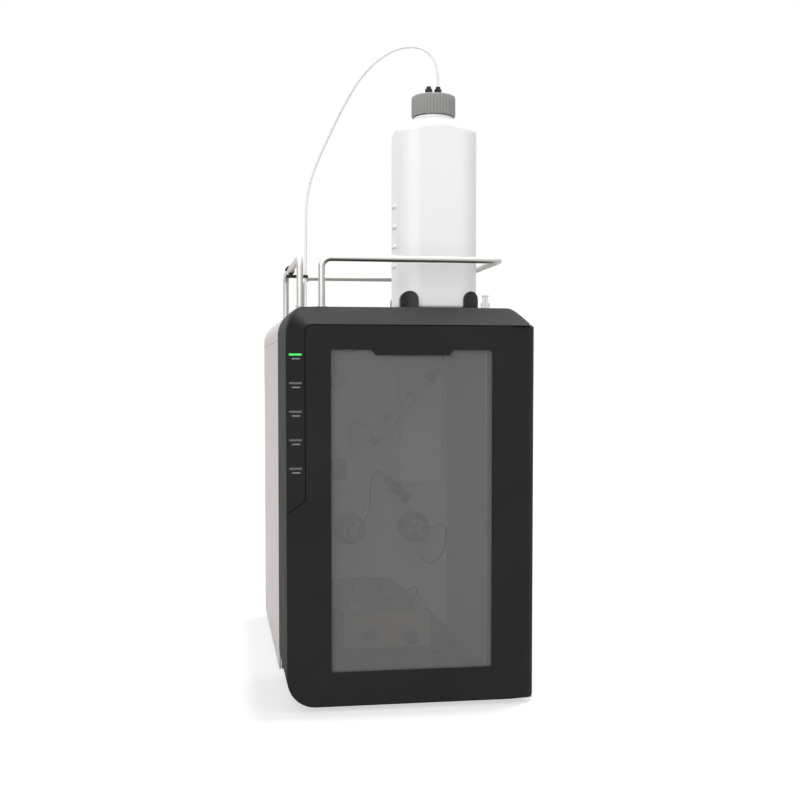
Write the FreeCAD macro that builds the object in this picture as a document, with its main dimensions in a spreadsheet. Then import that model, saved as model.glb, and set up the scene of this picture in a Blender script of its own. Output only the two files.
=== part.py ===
import FreeCAD, Part
import math
import os
from types import SimpleNamespace

import Sketcher
from FreeCAD import Placement, Rotation, Vector

# Bench-top ion chromatograph with an eluent bottle on its top.
# Frame: X to the right, Y to the back, Z up, origin on the bench under the middle of the case.
# All sizes are in millimetres.

os.makedirs("parts", exist_ok=True)
doc = FreeCAD.newDocument("ion_chromatograph")

# Driving sizes
SIZES = {
    # whole case
    "case_width": 285,
    "case_depth": 540,
    "case_height": 457,
    "corner_round": 33,
    "lower_round": 32,
    "right_round": 10,
    "sheet_wall": 1.5,
    "cover_wall": 3,
    "cover_drop": 39,
    "rear_lip": 2,
    "seam_gap": 0.8,
    "fit_gap": 0.3,
    "shaft_gap": 0.05,
    # feet and base
    "foot_height": 10.5,
    "foot_radius": 14,
    "foot_taper": 2,
    "foot_inset": 37,
    "foot_front": 85,
    "foot_rear": 45,
    "flange_height": 20,
    "vent_count": 6,
    "vent_pitch": 12,
    "vent_width": 4,
    "vent_length": 50,
    "vent_inset": 48.5,
    "vent_front": 330,
    # hood
    "hood_depth": 158,
    "hood_wall": 4,
    "hood_skirt": 5.2,
    "fan_sharpness": 6,
    "slope_depth": 100,
    "slope_drop": 25,
    "hood_rim": 3.5,
    "fan_setback": 10,
    "seat_lap": 6,
    "latch_level": 148,
    "latch_height": 10,
    # door
    "door_thickness": 21,
    "door_wall": 4,
    "door_round": 20,
    "door_floor": 5.6,
    "door_drop": 26.2,
    "strip_width": 21.4,
    "strip_length": 193.8,
    "strip_slant": 16,
    "strip_round": 8,
    "bend_round": 6,
    "liner_plate": 2.5,
    "hinge_inset": 4,
    "hinge_setback": 2,
    "hinge_pin": 1.5,
    "hinge_boss": 5,
    "hinge_reach": 9,
    "hinge_block": 14,
    "hinge_plate": 2.4,
    "hinge_plate_width": 6,
    "hinge_plate_depth": 56,
    "magnet_drop": 60,
    "magnet_height": 36,
    "magnet_width": 12,
    "magnet_depth": 8,
    # window in the door
    "window_left": 49.6,
    "window_width": 183.5,
    "window_sill": 37.8,
    "window_drop": 26.6,
    "window_round": 3,
    "window_lap": 6,
    "pane_wall": 3,
    "notch_left": 95.3,
    "notch_width": 92.7,
    "notch_drop": 6.1,
    "notch_slant": 5,
    "liner_lip": 3,
    # lights on the strip
    "light_drop": 32.4,
    "light_count": 5,
    "light_reach": 6,
    "lamp_board": 1.6,
    "lamp_board_width": 11,
    "light_pitch": 31.4,
    "light_width": 9,
    "light_height": 1.6,
    "light_inset": 10.4,
    # flow compartment behind the door
    "bay_left": 24.5,
    "bay_width": 204,
    "bay_depth": 215,
    "bay_drop": 33,
    "tray_rim": 8,
    "sensor_inset": 38,
    "sensor_stand": 96.4,
    "sensor_width": 14,
    "sensor_depth": 20,
    "sensor_height": 10,
    "bay_wall": 2.5,
    # rails on the top
    "rail_radius": 4,
    "rail_bend": 11,
    "rail_height": 59,
    "rail_front": 115,
    "rail_rear": 410,
    "rail_left": 50.2,
    "rail_right": 15.5,
    "side_rail_left": 24.2,
    "side_rail_rear": 380,
    "rail_depth": 12,
    "ferrule_radius": 5.4,
    "ferrule_height": 1.5,
    # tray, bottle holder and bottle
    "tray_left": 60,
    "tray_right": 12,
    "tray_front": 264,
    "tray_rear": 425,
    "tray_drop": 5,
    "tray_round": 8,
    "bottle_inset": 84,
    "bottle_back": 195,
    "bottle_side": 100,
    "bottle_round": 25,
    "bottle_wall": 1.6,
    "bottle_rise": 241.5,
    "shoulder_rise": 0.72,
    "neck_radius": 21.5,
    "neck_rise": 23.5,
    "thread_height": 1.1,
    "grip_height": 4,
    "grip_reach": 3,
    "grip_length": 24,
    "grip_rise": 59.5,
    "grip_pitch": 25,
    "thread_pitch": 5,
    "thread_width": 1.6,
    "holder_wall": 4,
    "holder_gap": 0.6,
    "holder_plate": 2.5,
    "finger_width": 21,
    "finger_offset": 39,
    "finger_rise": 23,
    # cap
    "cap_radius": 28,
    "cap_reach": 20.5,
    "cap_height": 26,
    "cap_crown": 3,
    "cap_window": 17.3,
    "cap_ribs": 40,
    "cap_rib_depth": 0.9,
    "cap_chamfer": 1.5,
    "port_offset": 6,
    "port_width": 8.4,
    "port_height": 11.5,
    "port_collar": 3,
    # eluent tube
    "tube_radius": 1.6,
    "pickup_gap": 0.9,
    "clip_wall": 2.4,
    "guide_drop": 7.4,
    "guide_thickness": 4,
    "guide_width": 8,
    "guide_reach": 5,
    "eye_radius": 3.6,
    "gland_radius": 6.5,
    "gland_height": 9,
    "tube_port_inset": 45.5,
    "tube_port_back": 300,
    "drain_inset": 26.2,
    "drain_back": 150,
    "drain_height": 19,
    "drain_base": 9,
    "drain_lip": 2,
    "drain_radius": 5.6,
    "drain_neck": 3.7,
    "drain_lip_radius": 4.6,
    "drain_stem": 2,
    "drain_bore": 1.2,
    "filter_radius": 6,
    "filter_length": 25,
    # valves
    "valve_left": 96,
    "valve_right": 179.7,
    "valve_drop": 247,
    "valve_ring": 19,
    "valve_stator": 13.3,
    "valve_stand": 28.4,
    "stator_depth": 18,
    "rotor_radius": 9,
    "rotor_depth": 12,
    "shaft_radius": 3,
    "port_count": 6,
    "port_ring": 8,
    "nut_width": 5,
    "nut_length": 7,
    "actuator_side": 44,
    "actuator_depth": 62,
    # pump
    "pump_left": 84.5,
    "pump_width": 111,
    "pump_floor": 26,
    "pump_height": 44,
    "head_depth": 38,
    "knob_radius": 8.8,
    "knob_depth": 16,
    "knob_flutes": 10,
    "flute_radius": 2,
    "prime_x": 117,
    "prime_level": 44,
    "waste_x": 169.5,
    "waste_level": 40.7,
    "piston_radius": 3,
    "piston_spread": 56,
    "piston_stroke": 5,
    "plunger_room": 8,
    "plunger_reach": 20,
    "plunger_foot": 6.5,
    "mount_depth": 12,
    "check_radius": 6,
    "check_inset": 13.5,
    "check_rise": 16,
    "check_fall": 9,
    "check_nut": 3.5,
    "check_nut_length": 8,
    "drive_length": 115,
    "drive_width": 116,
    "drive_height": 78,
    "drive_gap": 13,
    "motor_radius": 28,
    "motor_length": 48,
    "foot_plate": 4,
    # columns and cartridges
    "column_radius": 5.2,
    "column_left": 99.5,
    "column_right": 32.5,
    "column_drop": 55,
    "column_fall": 73,
    "column_stand": 32.4,
    "end_radius": 6.4,
    "end_length": 11.1,
    "guard_radius": 6,
    "guard_left": 87.5,
    "guard_side": 29,
    "guard_drop": 180,
    "card_depth": 12,
    "card_inset": 10.5,
    "card_width": 55,
    "card_height": 148,
    "card_drop": 40,
    "grip_inset": 6,
    "grip_width": 16,
    "grip_drop": 122,
    "grip_tall": 30,
    "cell_x": 78,
    "cell_width": 17,
    "cell_height": 15,
    "cell_drop": 48,
    "cell_nut_length": 10,
    "suppressor_x": 122.5,
    "suppressor_width": 18,
    "suppressor_height": 27,
    "suppressor_drop": 112,
    "line_radius": 0.9,
    # rear panel parts
    "fan_size": 80,
    "fan_depth": 25,
    "fan_lip": 3,
    "fan_hub": 16,
    "fan_pin": 2,
    "fan_rib": 3,
    "fan_end": 4,
    "fan_blades": 7,
    "fan_x": 95,
    "fan_level": 330,
    "inlet_x": 225,
    "inlet_level": 60,
    "inlet_width": 27.4,
    "inlet_height": 47.4,
    "inlet_depth": 28,
    "flange_lap": 4.3,
    "rocker_width": 20,
    "rocker_rise": 12,
    "rocker_room": 8.3,
    "rocker_tip": 6.8,
    "rocker_crest": 4.6,
    "rocker_waist": 3.2,
    "rocker_keel": 3.4,
    "inlet_wall": 2.7,
    "blade_pitch": 6,
    "rocker_set": 3.6,
    "axle_radius": 1.5,
    "data_x": 110,
    "data_pitch": 26,
    "data_side": 15.4,
    "data_depth": 16,
    "data_wall": 1.9,
    "waste_x_first": 42.5,
    "waste_pitch": 20,
    "waste_port_level": 100,
    "waste_radius": 4,
    "waste_bore": 2.2,
    "waste_collar": 6.5,
    "waste_flange": 3,
    "waste_length": 14,
    "louvre_inset": 32.5,
    "louvre_width": 80,
    "louvre_floor": 200,
    "louvre_pitch": 9,
    "louvre_height": 4,
    "louvre_count": 8,
    "panel_chamfer": 30,
    "screw_radius": 3.5,
    "screw_inset": 6,
    # electronics
    "board_gap": 12,
    "board_thickness": 1.6,
    "board_floor": 130,
    "board_drop": 67,
    "chip_side": 36,
    "chip_height": 9,
    "chip_pitch": 70,
    "supply_height": 62,
    "degasser_width": 58,
    "degasser_depth": 110,
    "degasser_height": 90,
}

sheet = doc.addObject("Spreadsheet::Sheet", "sizes")
for row, (alias, value) in enumerate(SIZES.items(), start=1):
    sheet.set(f"A{row}", alias.replace("_", " "))
    sheet.set(f"B{row}", str(value))
    sheet.setAlias(f"B{row}", alias)
doc.recompute()


class Size:
    """A length that knows its value and the sheet formula that gives it."""

    def __init__(self, number, formula):
        self.number = float(number)
        self.formula = formula

    def __float__(self):
        return self.number

    def __add__(self, other):
        other = sized(other)
        return Size(self.number + other.number, f"({self.formula} + {other.formula})")

    def __sub__(self, other):
        other = sized(other)
        return Size(self.number - other.number, f"({self.formula} - {other.formula})")

    def __mul__(self, other):
        other = sized(other)
        return Size(self.number * other.number, f"({self.formula} * {other.formula})")

    def __truediv__(self, other):
        other = sized(other)
        return Size(self.number / other.number, f"({self.formula} / {other.formula})")

    def __neg__(self):
        return Size(-self.number, f"(0 - {self.formula})")

    def __rsub__(self, other):
        return sized(other) - self

    __radd__ = __add__
    __rmul__ = __mul__


def sized(item):
    """A Size as it is, and a plain number as a Size."""
    return item if isinstance(item, Size) else Size(item, f"({float(item)})")


s = SimpleNamespace(**{alias: Size(sheet.get(alias), f"sizes.{alias}") for alias in SIZES})

# Planes that the pieces share
left = -s.case_width / 2
right = s.case_width / 2
front = -s.case_depth / 2
rear = s.case_depth / 2
top = s.case_height
case_rear = rear - s.rear_lip
hood_rear = front + s.hood_depth
door_back = front + s.door_thickness
rim_front = door_back + s.seam_gap / 2
rim_back = rim_front + s.hood_rim
pan_floor = s.foot_height
pan_top = pan_floor + s.sheet_wall
panel_rear = case_rear - s.sheet_wall
panel_front = panel_rear - s.sheet_wall
bay_left = left + s.bay_left
bay_right = bay_left + s.bay_width
bay_floor = pan_top + s.bay_wall
bay_back = rim_front + s.bay_depth
bay_top = top - s.bay_drop
bay_rear = bay_back + s.bay_wall
ring_front = bay_back - s.valve_stand
valve_front = ring_front - s.stator_depth
column_level = bay_back - s.column_stand
valve_level = bay_top - s.valve_drop
cover_seam = top - s.cover_drop
door_top = top - s.door_drop
strip_bend = door_top - s.strip_length
strip_foot = strip_bend - s.strip_slant
window_floor = s.door_floor + s.window_sill
window_top = door_top - s.window_drop
light_top = door_top - s.light_drop
tray_level = top - s.tray_drop
bottle_x = right - s.bottle_inset
bottle_y = front + s.bottle_back
bottle_base = top + s.holder_plate
shoulder_top = bottle_base + s.bottle_rise
neck_top = shoulder_top + s.neck_rise
cap_floor = neck_top - s.cap_reach
finger_top = top + s.finger_rise
tube_port = (left + s.tube_port_inset, front + s.tube_port_back)
drain_place = (right - s.drain_inset, front + s.drain_back)
CUT = 1.0

# Turns that lay a piece's own Z along another axis
UPRIGHT = Rotation()
BACKWARD = Rotation(Vector(1, 0, 0), -90)
FORWARD = Rotation(Vector(1, 0, 0), 90)
SIDEWAYS = Rotation(Vector(0, 1, 0), 90)
CROSSWAYS = Rotation(Vector(0, 0, -1), Vector(0, 1, 0), Vector(1, 0, 0))

nodes = {}


def node(name, item):
    """Name a finished piece, so that it is written to its own file."""
    item.Label = name
    nodes[name] = item
    return item


def place(item, at, turn=UPRIGHT):
    """Put an item where its formulas say."""
    item.Placement = Placement(Vector(*at), turn)
    for axis, value in zip("xyz", at):
        item.setExpression(f"Placement.Base.{axis}", sized(value).formula)


def bind(item, **lengths):
    """Tie properties of an item to the sheet."""
    for name, value in lengths.items():
        item.setExpression(name, sized(value).formula)


def box(name, size, at, turn=UPRIGHT):
    item = doc.addObject("Part::Box", name)
    bind(item, Length=size[0], Width=size[1], Height=size[2])
    place(item, at, turn)
    return item


def block(name, low, high):
    """Box between its lowest and its highest corner."""
    return box(name, [b - a for a, b in zip(map(sized, low), map(sized, high))], low)


def cylinder(name, radius, length, at, turn=UPRIGHT):
    item = doc.addObject("Part::Cylinder", name)
    bind(item, Radius=radius, Height=length)
    place(item, at, turn)
    return item


def cone(name, radius, end_radius, length, at, turn=UPRIGHT):
    item = doc.addObject("Part::Cone", name)
    bind(item, Radius1=radius, Radius2=end_radius, Height=length)
    place(item, at, turn)
    return item


def hexagon(name, across_flats, length, at, turn=UPRIGHT):
    item = doc.addObject("Part::Prism", name)
    item.Polygon = 6
    bind(item, Circumradius=sized(across_flats) / math.sqrt(3), Height=length)
    place(item, at, turn)
    return item


def fuse(name, *items):
    item = doc.addObject("Part::MultiFuse", name)
    item.Shapes = list(items)
    return item


def cut(name, base, *tools):
    item = doc.addObject("Part::Cut", name)
    item.Base = base
    item.Tool = tools[0] if len(tools) == 1 else fuse(name + "_tools", *tools)
    return item


def ring(name, radius, bore, length, at, turn=UPRIGHT):
    """Round sleeve."""
    outer = cylinder(name + "_outer", radius, length, at, turn)
    inner = cylinder(name + "_bore", bore, length, at, turn)
    return cut(name, outer, inner)


def solid(name, shape):
    """Piece whose form is worked out below from the sheet's sizes."""
    item = doc.addObject("Part::Feature", name)
    item.Shape = shape
    item.Placement = Placement()
    return item


def plane_of(body, role):
    return next(item for item in body.Origin.OriginFeatures if item.Role == role)


def sketch_in(body, role, name):
    sketch = body.newObject("Sketcher::SketchObject", name)
    sketch.AttachmentSupport = [(plane_of(body, role), "")]
    sketch.MapMode = "FlatFace"
    return sketch


def hold(sketch, kind, *what):
    """Add a dimension to a sketch and tie it to the sheet."""
    value = sized(what[-1])
    index = sketch.addConstraint(Sketcher.Constraint(kind, *what[:-1], value.number))
    sketch.setExpression(f"Constraints[{index}]", value.formula)


def draw_outline(sketch, points):
    """Closed run of straight edges; each corner is held at its distance from the origin."""
    count = len(points)
    for index, point in enumerate(points):
        after = points[(index + 1) % count]
        sketch.addGeometry(Part.LineSegment(Vector(*point, 0), Vector(*after, 0)))
    for index, (across, along) in enumerate(points):
        sketch.addConstraint(Sketcher.Constraint("Coincident", index, 2, (index + 1) % count, 1))
        if float(across) == 0:
            sketch.addConstraint(Sketcher.Constraint("PointOnObject", index, 1, -2))
        else:
            hold(sketch, "DistanceX", -1, 1, index, 1, across)
        if float(along) == 0:
            sketch.addConstraint(Sketcher.Constraint("PointOnObject", index, 1, -1))
        else:
            hold(sketch, "DistanceY", -1, 1, index, 1, along)


def draw_circle(sketch, centre, radius):
    index = sketch.addGeometry(Part.Circle(Vector(*centre, 0), Vector(0, 0, 1), float(radius)))
    for kind, value in zip(("DistanceX", "DistanceY"), centre):
        if float(value) == 0:
            axis = -2 if kind == "DistanceX" else -1
            sketch.addConstraint(Sketcher.Constraint("PointOnObject", index, 3, axis))
        else:
            hold(sketch, kind, -1, 1, index, 3, value)
    hold(sketch, "Radius", index, radius)


def padded(name, points, length, at, turn=UPRIGHT, rounding=None, holes=()):
    """Plate: an outline in its own X-Y plane with round holes, made thick along its own Z."""
    body = doc.addObject("PartDesign::Body", name)
    sketch = sketch_in(body, "XY_Plane", name + "_outline")
    draw_outline(sketch, points)
    for centre, radius in holes:
        draw_circle(sketch, centre, radius)
    pad = body.newObject("PartDesign::Pad", name + "_pad")
    pad.Profile = sketch
    bind(pad, Length=length)
    if rounding is not None:
        doc.recompute()
        upright = [
            f"Edge{index}"
            for index, edge in enumerate(pad.Shape.Edges, start=1)
            if edge.Curve.TypeId == "Part::GeomLine"
            and abs(edge.tangentAt(edge.FirstParameter).z) > 0.999
        ]
        fillet = body.newObject("PartDesign::Fillet", name + "_corners")
        fillet.Base = (pad, upright)
        bind(fillet, Radius=rounding)
    place(body, at, turn)
    return body


def turned(name, profile, at, turn=UPRIGHT):
    """Round piece: a half section of radius and height, turned about its own Z."""
    body = doc.addObject("PartDesign::Body", name)
    sketch = sketch_in(body, "XZ_Plane", name + "_section")
    draw_outline(sketch, profile)
    feature = body.newObject("PartDesign::Revolution", name + "_turned")
    feature.Profile = sketch
    feature.ReferenceAxis = (sketch, ["V_Axis"])
    feature.Angle = 360
    place(body, at, turn)
    return body


def flute(body, name, count, centre_radius, flute_radius, length):
    """Cut a flute into a turned piece and repeat it round the piece's own Z."""
    sketch = sketch_in(body, "XY_Plane", name + "_flute")
    draw_circle(sketch, (centre_radius, 0), flute_radius)
    pocket = body.newObject("PartDesign::Pocket", name + "_pocket")
    pocket.Profile = sketch
    pocket.Reversed = True
    bind(pocket, Length=length)
    repeat(body, name, pocket, count)


def repeat(body, name, feature, count):
    """Repeat a feature round the body's own Z."""
    pattern = body.newObject("PartDesign::PolarPattern", name + "_ring")
    pattern.Originals = [feature]
    pattern.Axis = (plane_of(body, "Z_Axis"), [""])
    pattern.Angle = 360
    bind(pattern, Occurrences=count)
    body.Tip = pattern


def rounded_face(points, radii, level=0.0):
    """Flat face in an X-Z plane whose corners are arcs that touch both their edges."""
    count = len(points)
    corners = [Vector(x, level, z) for x, z in points]
    runs = []
    for index, corner in enumerate(corners):
        radius = float(radii[index])
        back = (corners[index - 1] - corner).normalize()
        ahead = (corners[(index + 1) % count] - corner).normalize()
        if radius == 0:
            runs.append((corner, None, corner))
            continue
        half = back.getAngle(ahead) / 2
        reach = radius / math.tan(half)
        inward = (back + ahead).normalize()
        middle = corner + inward * (radius / math.sin(half) - radius)
        runs.append((corner + back * reach, middle, corner + ahead * reach))
    edges = []
    for index, (first, middle, last) in enumerate(runs):
        if middle is not None:
            edges.append(Part.Arc(first, middle, last).toShape())
        following = runs[(index + 1) % count][0]
        if last.distanceToPoint(following) > 1e-6:
            edges.append(Part.LineSegment(last, following).toShape())
    return Part.Face(Part.Wire(edges))


def bar(points, radii, level, length):
    """Outline in an X-Z plane, carried along Y from a level."""
    return rounded_face(points, radii, float(level)).extrude(Vector(0, length, 0))


def brick(low, high):
    """Box shape between two corners."""
    low, high = Vector(*low), Vector(*high)
    size = high - low
    return Part.makeBox(size.x, size.y, size.z, low)


def rod(radius, length, at, along=Vector(0, 0, 1)):
    return Part.makeCylinder(float(radius), float(length), Vector(*at), along)


def bent_path(points, radii):
    """Wire of straight runs and the arcs that join them."""
    points = [Vector(*point) for point in points]
    edges = []
    start = points[0]
    for index in range(1, len(points) - 1):
        corner = points[index]
        back = (points[index - 1] - corner).normalize()
        ahead = (points[index + 1] - corner).normalize()
        half = back.getAngle(ahead) / 2
        radius = float(radii[index - 1])
        reach = radius / math.tan(half)
        middle = corner + (back + ahead).normalize() * (radius / math.sin(half) - radius)
        first = corner + back * reach
        last = corner + ahead * reach
        if start.distanceToPoint(first) > 1e-6:
            edges.append(Part.LineSegment(start, first).toShape())
        edges.append(Part.Arc(first, middle, last).toShape())
        start = last
    edges.append(Part.LineSegment(start, points[-1]).toShape())
    return Part.Wire(edges)


def along_path(path, radius):
    """Round bar swept along a wire."""
    start = path.OrderedVertexes[0].Point
    heading = path.OrderedEdges[0].tangentAt(path.OrderedEdges[0].FirstParameter)
    circle = Part.Wire(Part.makeCircle(float(radius), start, heading))
    return path.makePipeShell([circle], True, True)


def natural_radii(points):
    """Largest arcs that a route's runs allow."""
    points = [Vector(*point) for point in points]
    radii = []
    for before, corner, after in zip(points, points[1:], points[2:]):
        incoming = corner - before
        outgoing = after - corner
        shorter = min(incoming.Length, outgoing.Length)
        radii.append(0.45 * shorter / math.tan(incoming.getAngle(outgoing) / 2))
    return radii


# Base: a folded pan on four rubber feet
def base_pan():
    flange_top = pan_floor + s.flange_height
    inner_left = left + s.sheet_wall + s.fit_gap
    inner_right = right - s.sheet_wall - s.fit_gap
    floor = block("pan_floor", (inner_left, hood_rear, pan_floor), (inner_right, panel_front, pan_top))
    nose = block("pan_nose", (left + s.lower_round, rim_back + s.fit_gap, pan_floor),
                 (right - s.hood_wall - s.right_round, hood_rear, pan_top))
    flanges = [
        block("pan_left_flange", (inner_left, hood_rear, pan_floor),
              (inner_left + s.sheet_wall, panel_front, flange_top)),
        block("pan_right_flange", (inner_right - s.sheet_wall, hood_rear, pan_floor),
              (inner_right, panel_front, flange_top)),
    ]
    vents = []
    for index in range(int(s.vent_count.number)):
        x = right - s.vent_inset - index * s.vent_pitch
        y = front + s.vent_front
        vents.append(block(f"pan_vent_{index}", (x - s.vent_width, y, pan_floor - CUT),
                           (x, y + s.vent_length, pan_top + CUT)))
    node("base_pan", cut("pan", fuse("pan_folded", floor, nose, *flanges), *vents))


foot_places = [
    (x, y)
    for x in (left + s.foot_inset, right - s.foot_inset)
    for y in (front + s.foot_front, rear - s.foot_rear)
]


def rubber_feet():
    feet = [
        cone(f"foot_{index}", s.foot_radius - s.foot_taper, s.foot_radius, s.foot_height, (x, y, 0))
        for index, (x, y) in enumerate(foot_places)
    ]
    node("rubber_feet", fuse("feet", *feet))


# Hood: the black moulded front with its sloped brow, the light strip and the door's seat
door_left = left + s.strip_width
fan_x = door_left + s.strip_round
fan_z = door_top - s.strip_round

hinge_x = right - s.hinge_inset
hinge_y = door_back - s.hinge_setback

def front_outline(inset=0.0):
    """Outline of the case from the front, moved inwards by an inset."""
    low = s.hood_skirt + inset
    high = top - inset
    points = [(left + inset, low), (right - inset, low), (right - inset, high), (left + inset, high)]
    rounds = (s.lower_round, s.right_round, s.right_round, s.corner_round)
    return points, [radius - inset for radius in rounds]


def plan_face(back):
    """The hood as seen from above, with its right front corner round."""
    middle = s.door_round * (1 - math.sqrt(0.5))
    arc_start = Vector(right - s.door_round, front, 0)
    arc_middle = Vector(right - middle, front + middle, 0)
    arc_end = Vector(right, front + s.door_round, 0)
    corners = [arc_end, Vector(right, back, 0), Vector(left, back, 0), Vector(left, front, 0), arc_start]
    edges = [Part.Arc(arc_start, arc_middle, arc_end).toShape()]
    edges += [Part.LineSegment(a, b).toShape() for a, b in zip(corners, corners[1:])]
    return Part.Face(Part.Wire(edges))


def plan_form(back):
    """Upright prism on the hood's plan."""
    return plan_face(back).extrude(Vector(0, 0, top + 1))


def slope_wedge(drop=0.0):
    """What the sloped brow takes off the hood's top: all that isn't in the plan carried up the slope."""
    low = top - s.slope_drop
    past = 1.4
    under = plan_face(rear)
    under.translate(Vector(0, 0, low))
    under = under.extrude(Vector(0, past * s.slope_depth, past * s.slope_drop))
    wedge = brick((fan_x, front - s.door_round, low),
                  (right + CUT, front + s.slope_depth + 2 * s.door_round, low + past * s.slope_drop))
    wedge = wedge.cut(under)
    wedge.translate(Vector(0, 0, -drop))
    return wedge


def fan_wedge():
    """What the corner's fan takes off: the brow's slope turned about the strip's corner, easing to flat."""
    reach = 1.8 * float(s.corner_round)
    start = float(top - s.slope_drop - fan_z)
    steepest = float(s.slope_depth / s.slope_drop)
    sections = []
    for step in range(9):
        angle = math.radians(90 * step / 8)
        depth = steepest * math.sin(angle) ** float(s.fan_sharpness) * (reach - start)
        outward = Vector(-math.cos(angle), 0, math.sin(angle))
        centre = Vector(fan_x, front, fan_z)
        corners = [
            centre + outward * start,
            centre + outward * reach + Vector(0, -6, 0),
            centre + outward * reach + Vector(0, depth, 0),
        ]
        sections.append(Part.makePolygon(corners + corners[:1]))
    return Part.makeLoft(sections, True, True)


def door_outline(outer=0.0, inner=0.0):
    """Outline of the door: outer grows the case's edges, inner the edges beside strip and brow."""
    low = s.door_floor - outer
    high = door_top + inner
    wide = left - outer
    seam = door_left - inner
    points = [
        (wide, low), (right + outer, low), (right + outer, high),
        (seam, high), (seam, strip_bend + inner), (wide, strip_foot + inner - outer * 0.75),
    ]
    return points, [s.lower_round, 0, 0, s.strip_round, s.bend_round, 0]


def light_slots(grow=0.0):
    """Row of light windows down the strip."""
    middle = left + s.light_inset
    half = s.light_width / 2 + grow
    tall = s.light_height / 2 + grow
    slots = []
    for index in range(int(s.light_count.number)):
        level = light_top - index * s.light_pitch
        slots.append(brick((middle - half, front - 1, level - tall),
                           (middle + half, front + s.hood_wall + 1, level + tall)))
    return slots


def front_hood():
    points, rounds = front_outline()
    body = bar(points, rounds, front, s.hood_depth).common(plan_form(hood_rear))
    body = body.cut(slope_wedge()).cut(fan_wedge())
    points, rounds = front_outline(s.hood_wall)
    hollow = bar(points, rounds, rim_back, s.hood_depth)
    hollow = hollow.cut(slope_wedge(float(s.hood_wall)))
    fan = fan_wedge()
    fan.translate(Vector(0, s.fan_setback, -s.hood_wall))
    hollow = hollow.cut(fan)
    points, rounds = door_outline(outer=s.seat_lap, inner=s.seam_gap)
    seat = bar(points, [0, *rounds[1:]], front - s.seat_lap, s.seat_lap + s.door_thickness + s.seam_gap / 2)
    around = s.bay_wall + s.fit_gap
    mouth = brick((bay_left - around, front, pan_top - s.fit_gap),
                  (bay_right + around, rim_back + CUT, bay_top + around))
    wiring = brick((left + s.hood_wall, front + s.hood_wall, strip_bend + 3 * s.hood_wall),
                   (door_left - s.hood_wall, rim_back + CUT, light_top + 2 * s.hood_wall))
    latch = brick((left - CUT, hood_rear - s.hood_wall, s.latch_level),
                  (left + s.hood_wall / 2, hood_rear + CUT, s.latch_level + s.latch_height))
    holes = [rod(s.foot_radius + s.foot_taper, s.foot_height * 2, (x, y, 0)) for x, y in foot_places[0::2]]
    holes.append(rod(s.hinge_pin + s.shaft_gap, s.hinge_boss, (hinge_x, hinge_y, door_top)))
    for x, y in rail_feet_on_hood():
        holes.append(rod(s.rail_radius + s.fit_gap, 2 * s.rail_depth, (x, y, top - s.rail_depth - CUT)))
    holes.append(rod(s.drain_stem + s.fit_gap, 4 * s.hood_wall, (*drain_place, top - 2 * s.hood_wall)))
    swing = brick((right - s.hinge_block - CUT, door_back - s.hinge_setback * 2, s.door_floor - CUT),
                  (right + CUT, door_back + s.liner_plate + CUT / 2, door_top))
    body = body.cut([hollow, seat, mouth, wiring, latch, swing, *holes, *light_slots()])
    node("front_hood", solid("hood", body.removeSplitter()))


# Rails
rail_level = top + s.rail_height
rail_left = left + s.rail_left
rail_right = right - s.rail_right
rail_front = front + s.rail_front
rail_rear = front + s.rail_rear
side_rail_x = left + s.side_rail_left
side_rail_rear = front + s.side_rail_rear
rail_foot = top - s.rail_depth


def rail_feet_on_hood():
    return [(rail_left, rail_front), (side_rail_x, rail_front)]


def rail_feet_on_cover():
    return [(rail_left, rail_rear), (side_rail_x, side_rail_rear)]


def bent_rail(name, points):
    radii = [s.rail_bend] * (len(points) - 2)
    node(name, solid(name + "_tube", along_path(bent_path(points, radii), s.rail_radius)))


def rails():
    bent_rail("rail_main", [
        (rail_left, rail_front, rail_foot),
        (rail_left, rail_front, rail_level),
        (rail_right, rail_front, rail_level),
        (rail_right, rail_rear, rail_level),
        (rail_left, rail_rear, rail_level),
        (rail_left, rail_rear, rail_foot),
    ])
    bent_rail("rail_side", [
        (side_rail_x, rail_front, rail_foot),
        (side_rail_x, rail_front, rail_level),
        (side_rail_x, side_rail_rear, rail_level),
        (side_rail_x, side_rail_rear, rail_foot),
    ])
    sleeves = []
    for index, (x, y) in enumerate(rail_feet_on_hood() + rail_feet_on_cover()):
        sleeves.append(ring(f"ferrule_{index}", s.ferrule_radius, s.rail_radius + s.shaft_gap,
                            s.ferrule_height, (x, y, top)))
    node("rail_ferrules", fuse("ferrules", *sleeves))


# Door: a moulded frame, its inner liner, the smoked pane and what closes it
window_left = left + s.window_left
window_right = window_left + s.window_width
notch_left = left + s.notch_left
notch_right = notch_left + s.notch_width
skin_back = front + s.door_wall
pane_back = skin_back + s.pane_wall
liner_front = door_back - s.liner_plate


def window_outline(grow=0.0, notched=True):
    """Window with the tab that hangs from the middle of its upper edge."""
    low = window_floor - grow
    high = window_top + grow
    west = window_left - grow
    east = window_right + grow
    points = [(west, low), (east, low), (east, high)]
    rounds = [s.window_round + grow] * 3
    if notched:
        shelf = window_top - s.notch_drop
        points += [(notch_right, high), (notch_right - s.notch_slant, shelf),
                   (notch_left + s.notch_slant, shelf), (notch_left, high)]
        rounds += [1, 1, 1, 1]
    points.append((west, high))
    rounds.append(s.window_round + grow)
    return points, rounds


def inner_door_outline():
    """Outline of the hollow behind the door's skin."""
    wall = s.door_wall
    points, rounds = door_outline()
    points = [
        (left + wall, s.door_floor + wall), (right - wall, s.door_floor + wall),
        (right - wall, door_top - wall), (door_left + wall, door_top - wall),
        (door_left + wall, strip_bend - wall * 0.6), (left + wall, strip_foot - wall * 1.3),
    ]
    return points, [rounds[0] - wall, 0, 0, rounds[3] - wall, 6, 0]


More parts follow.
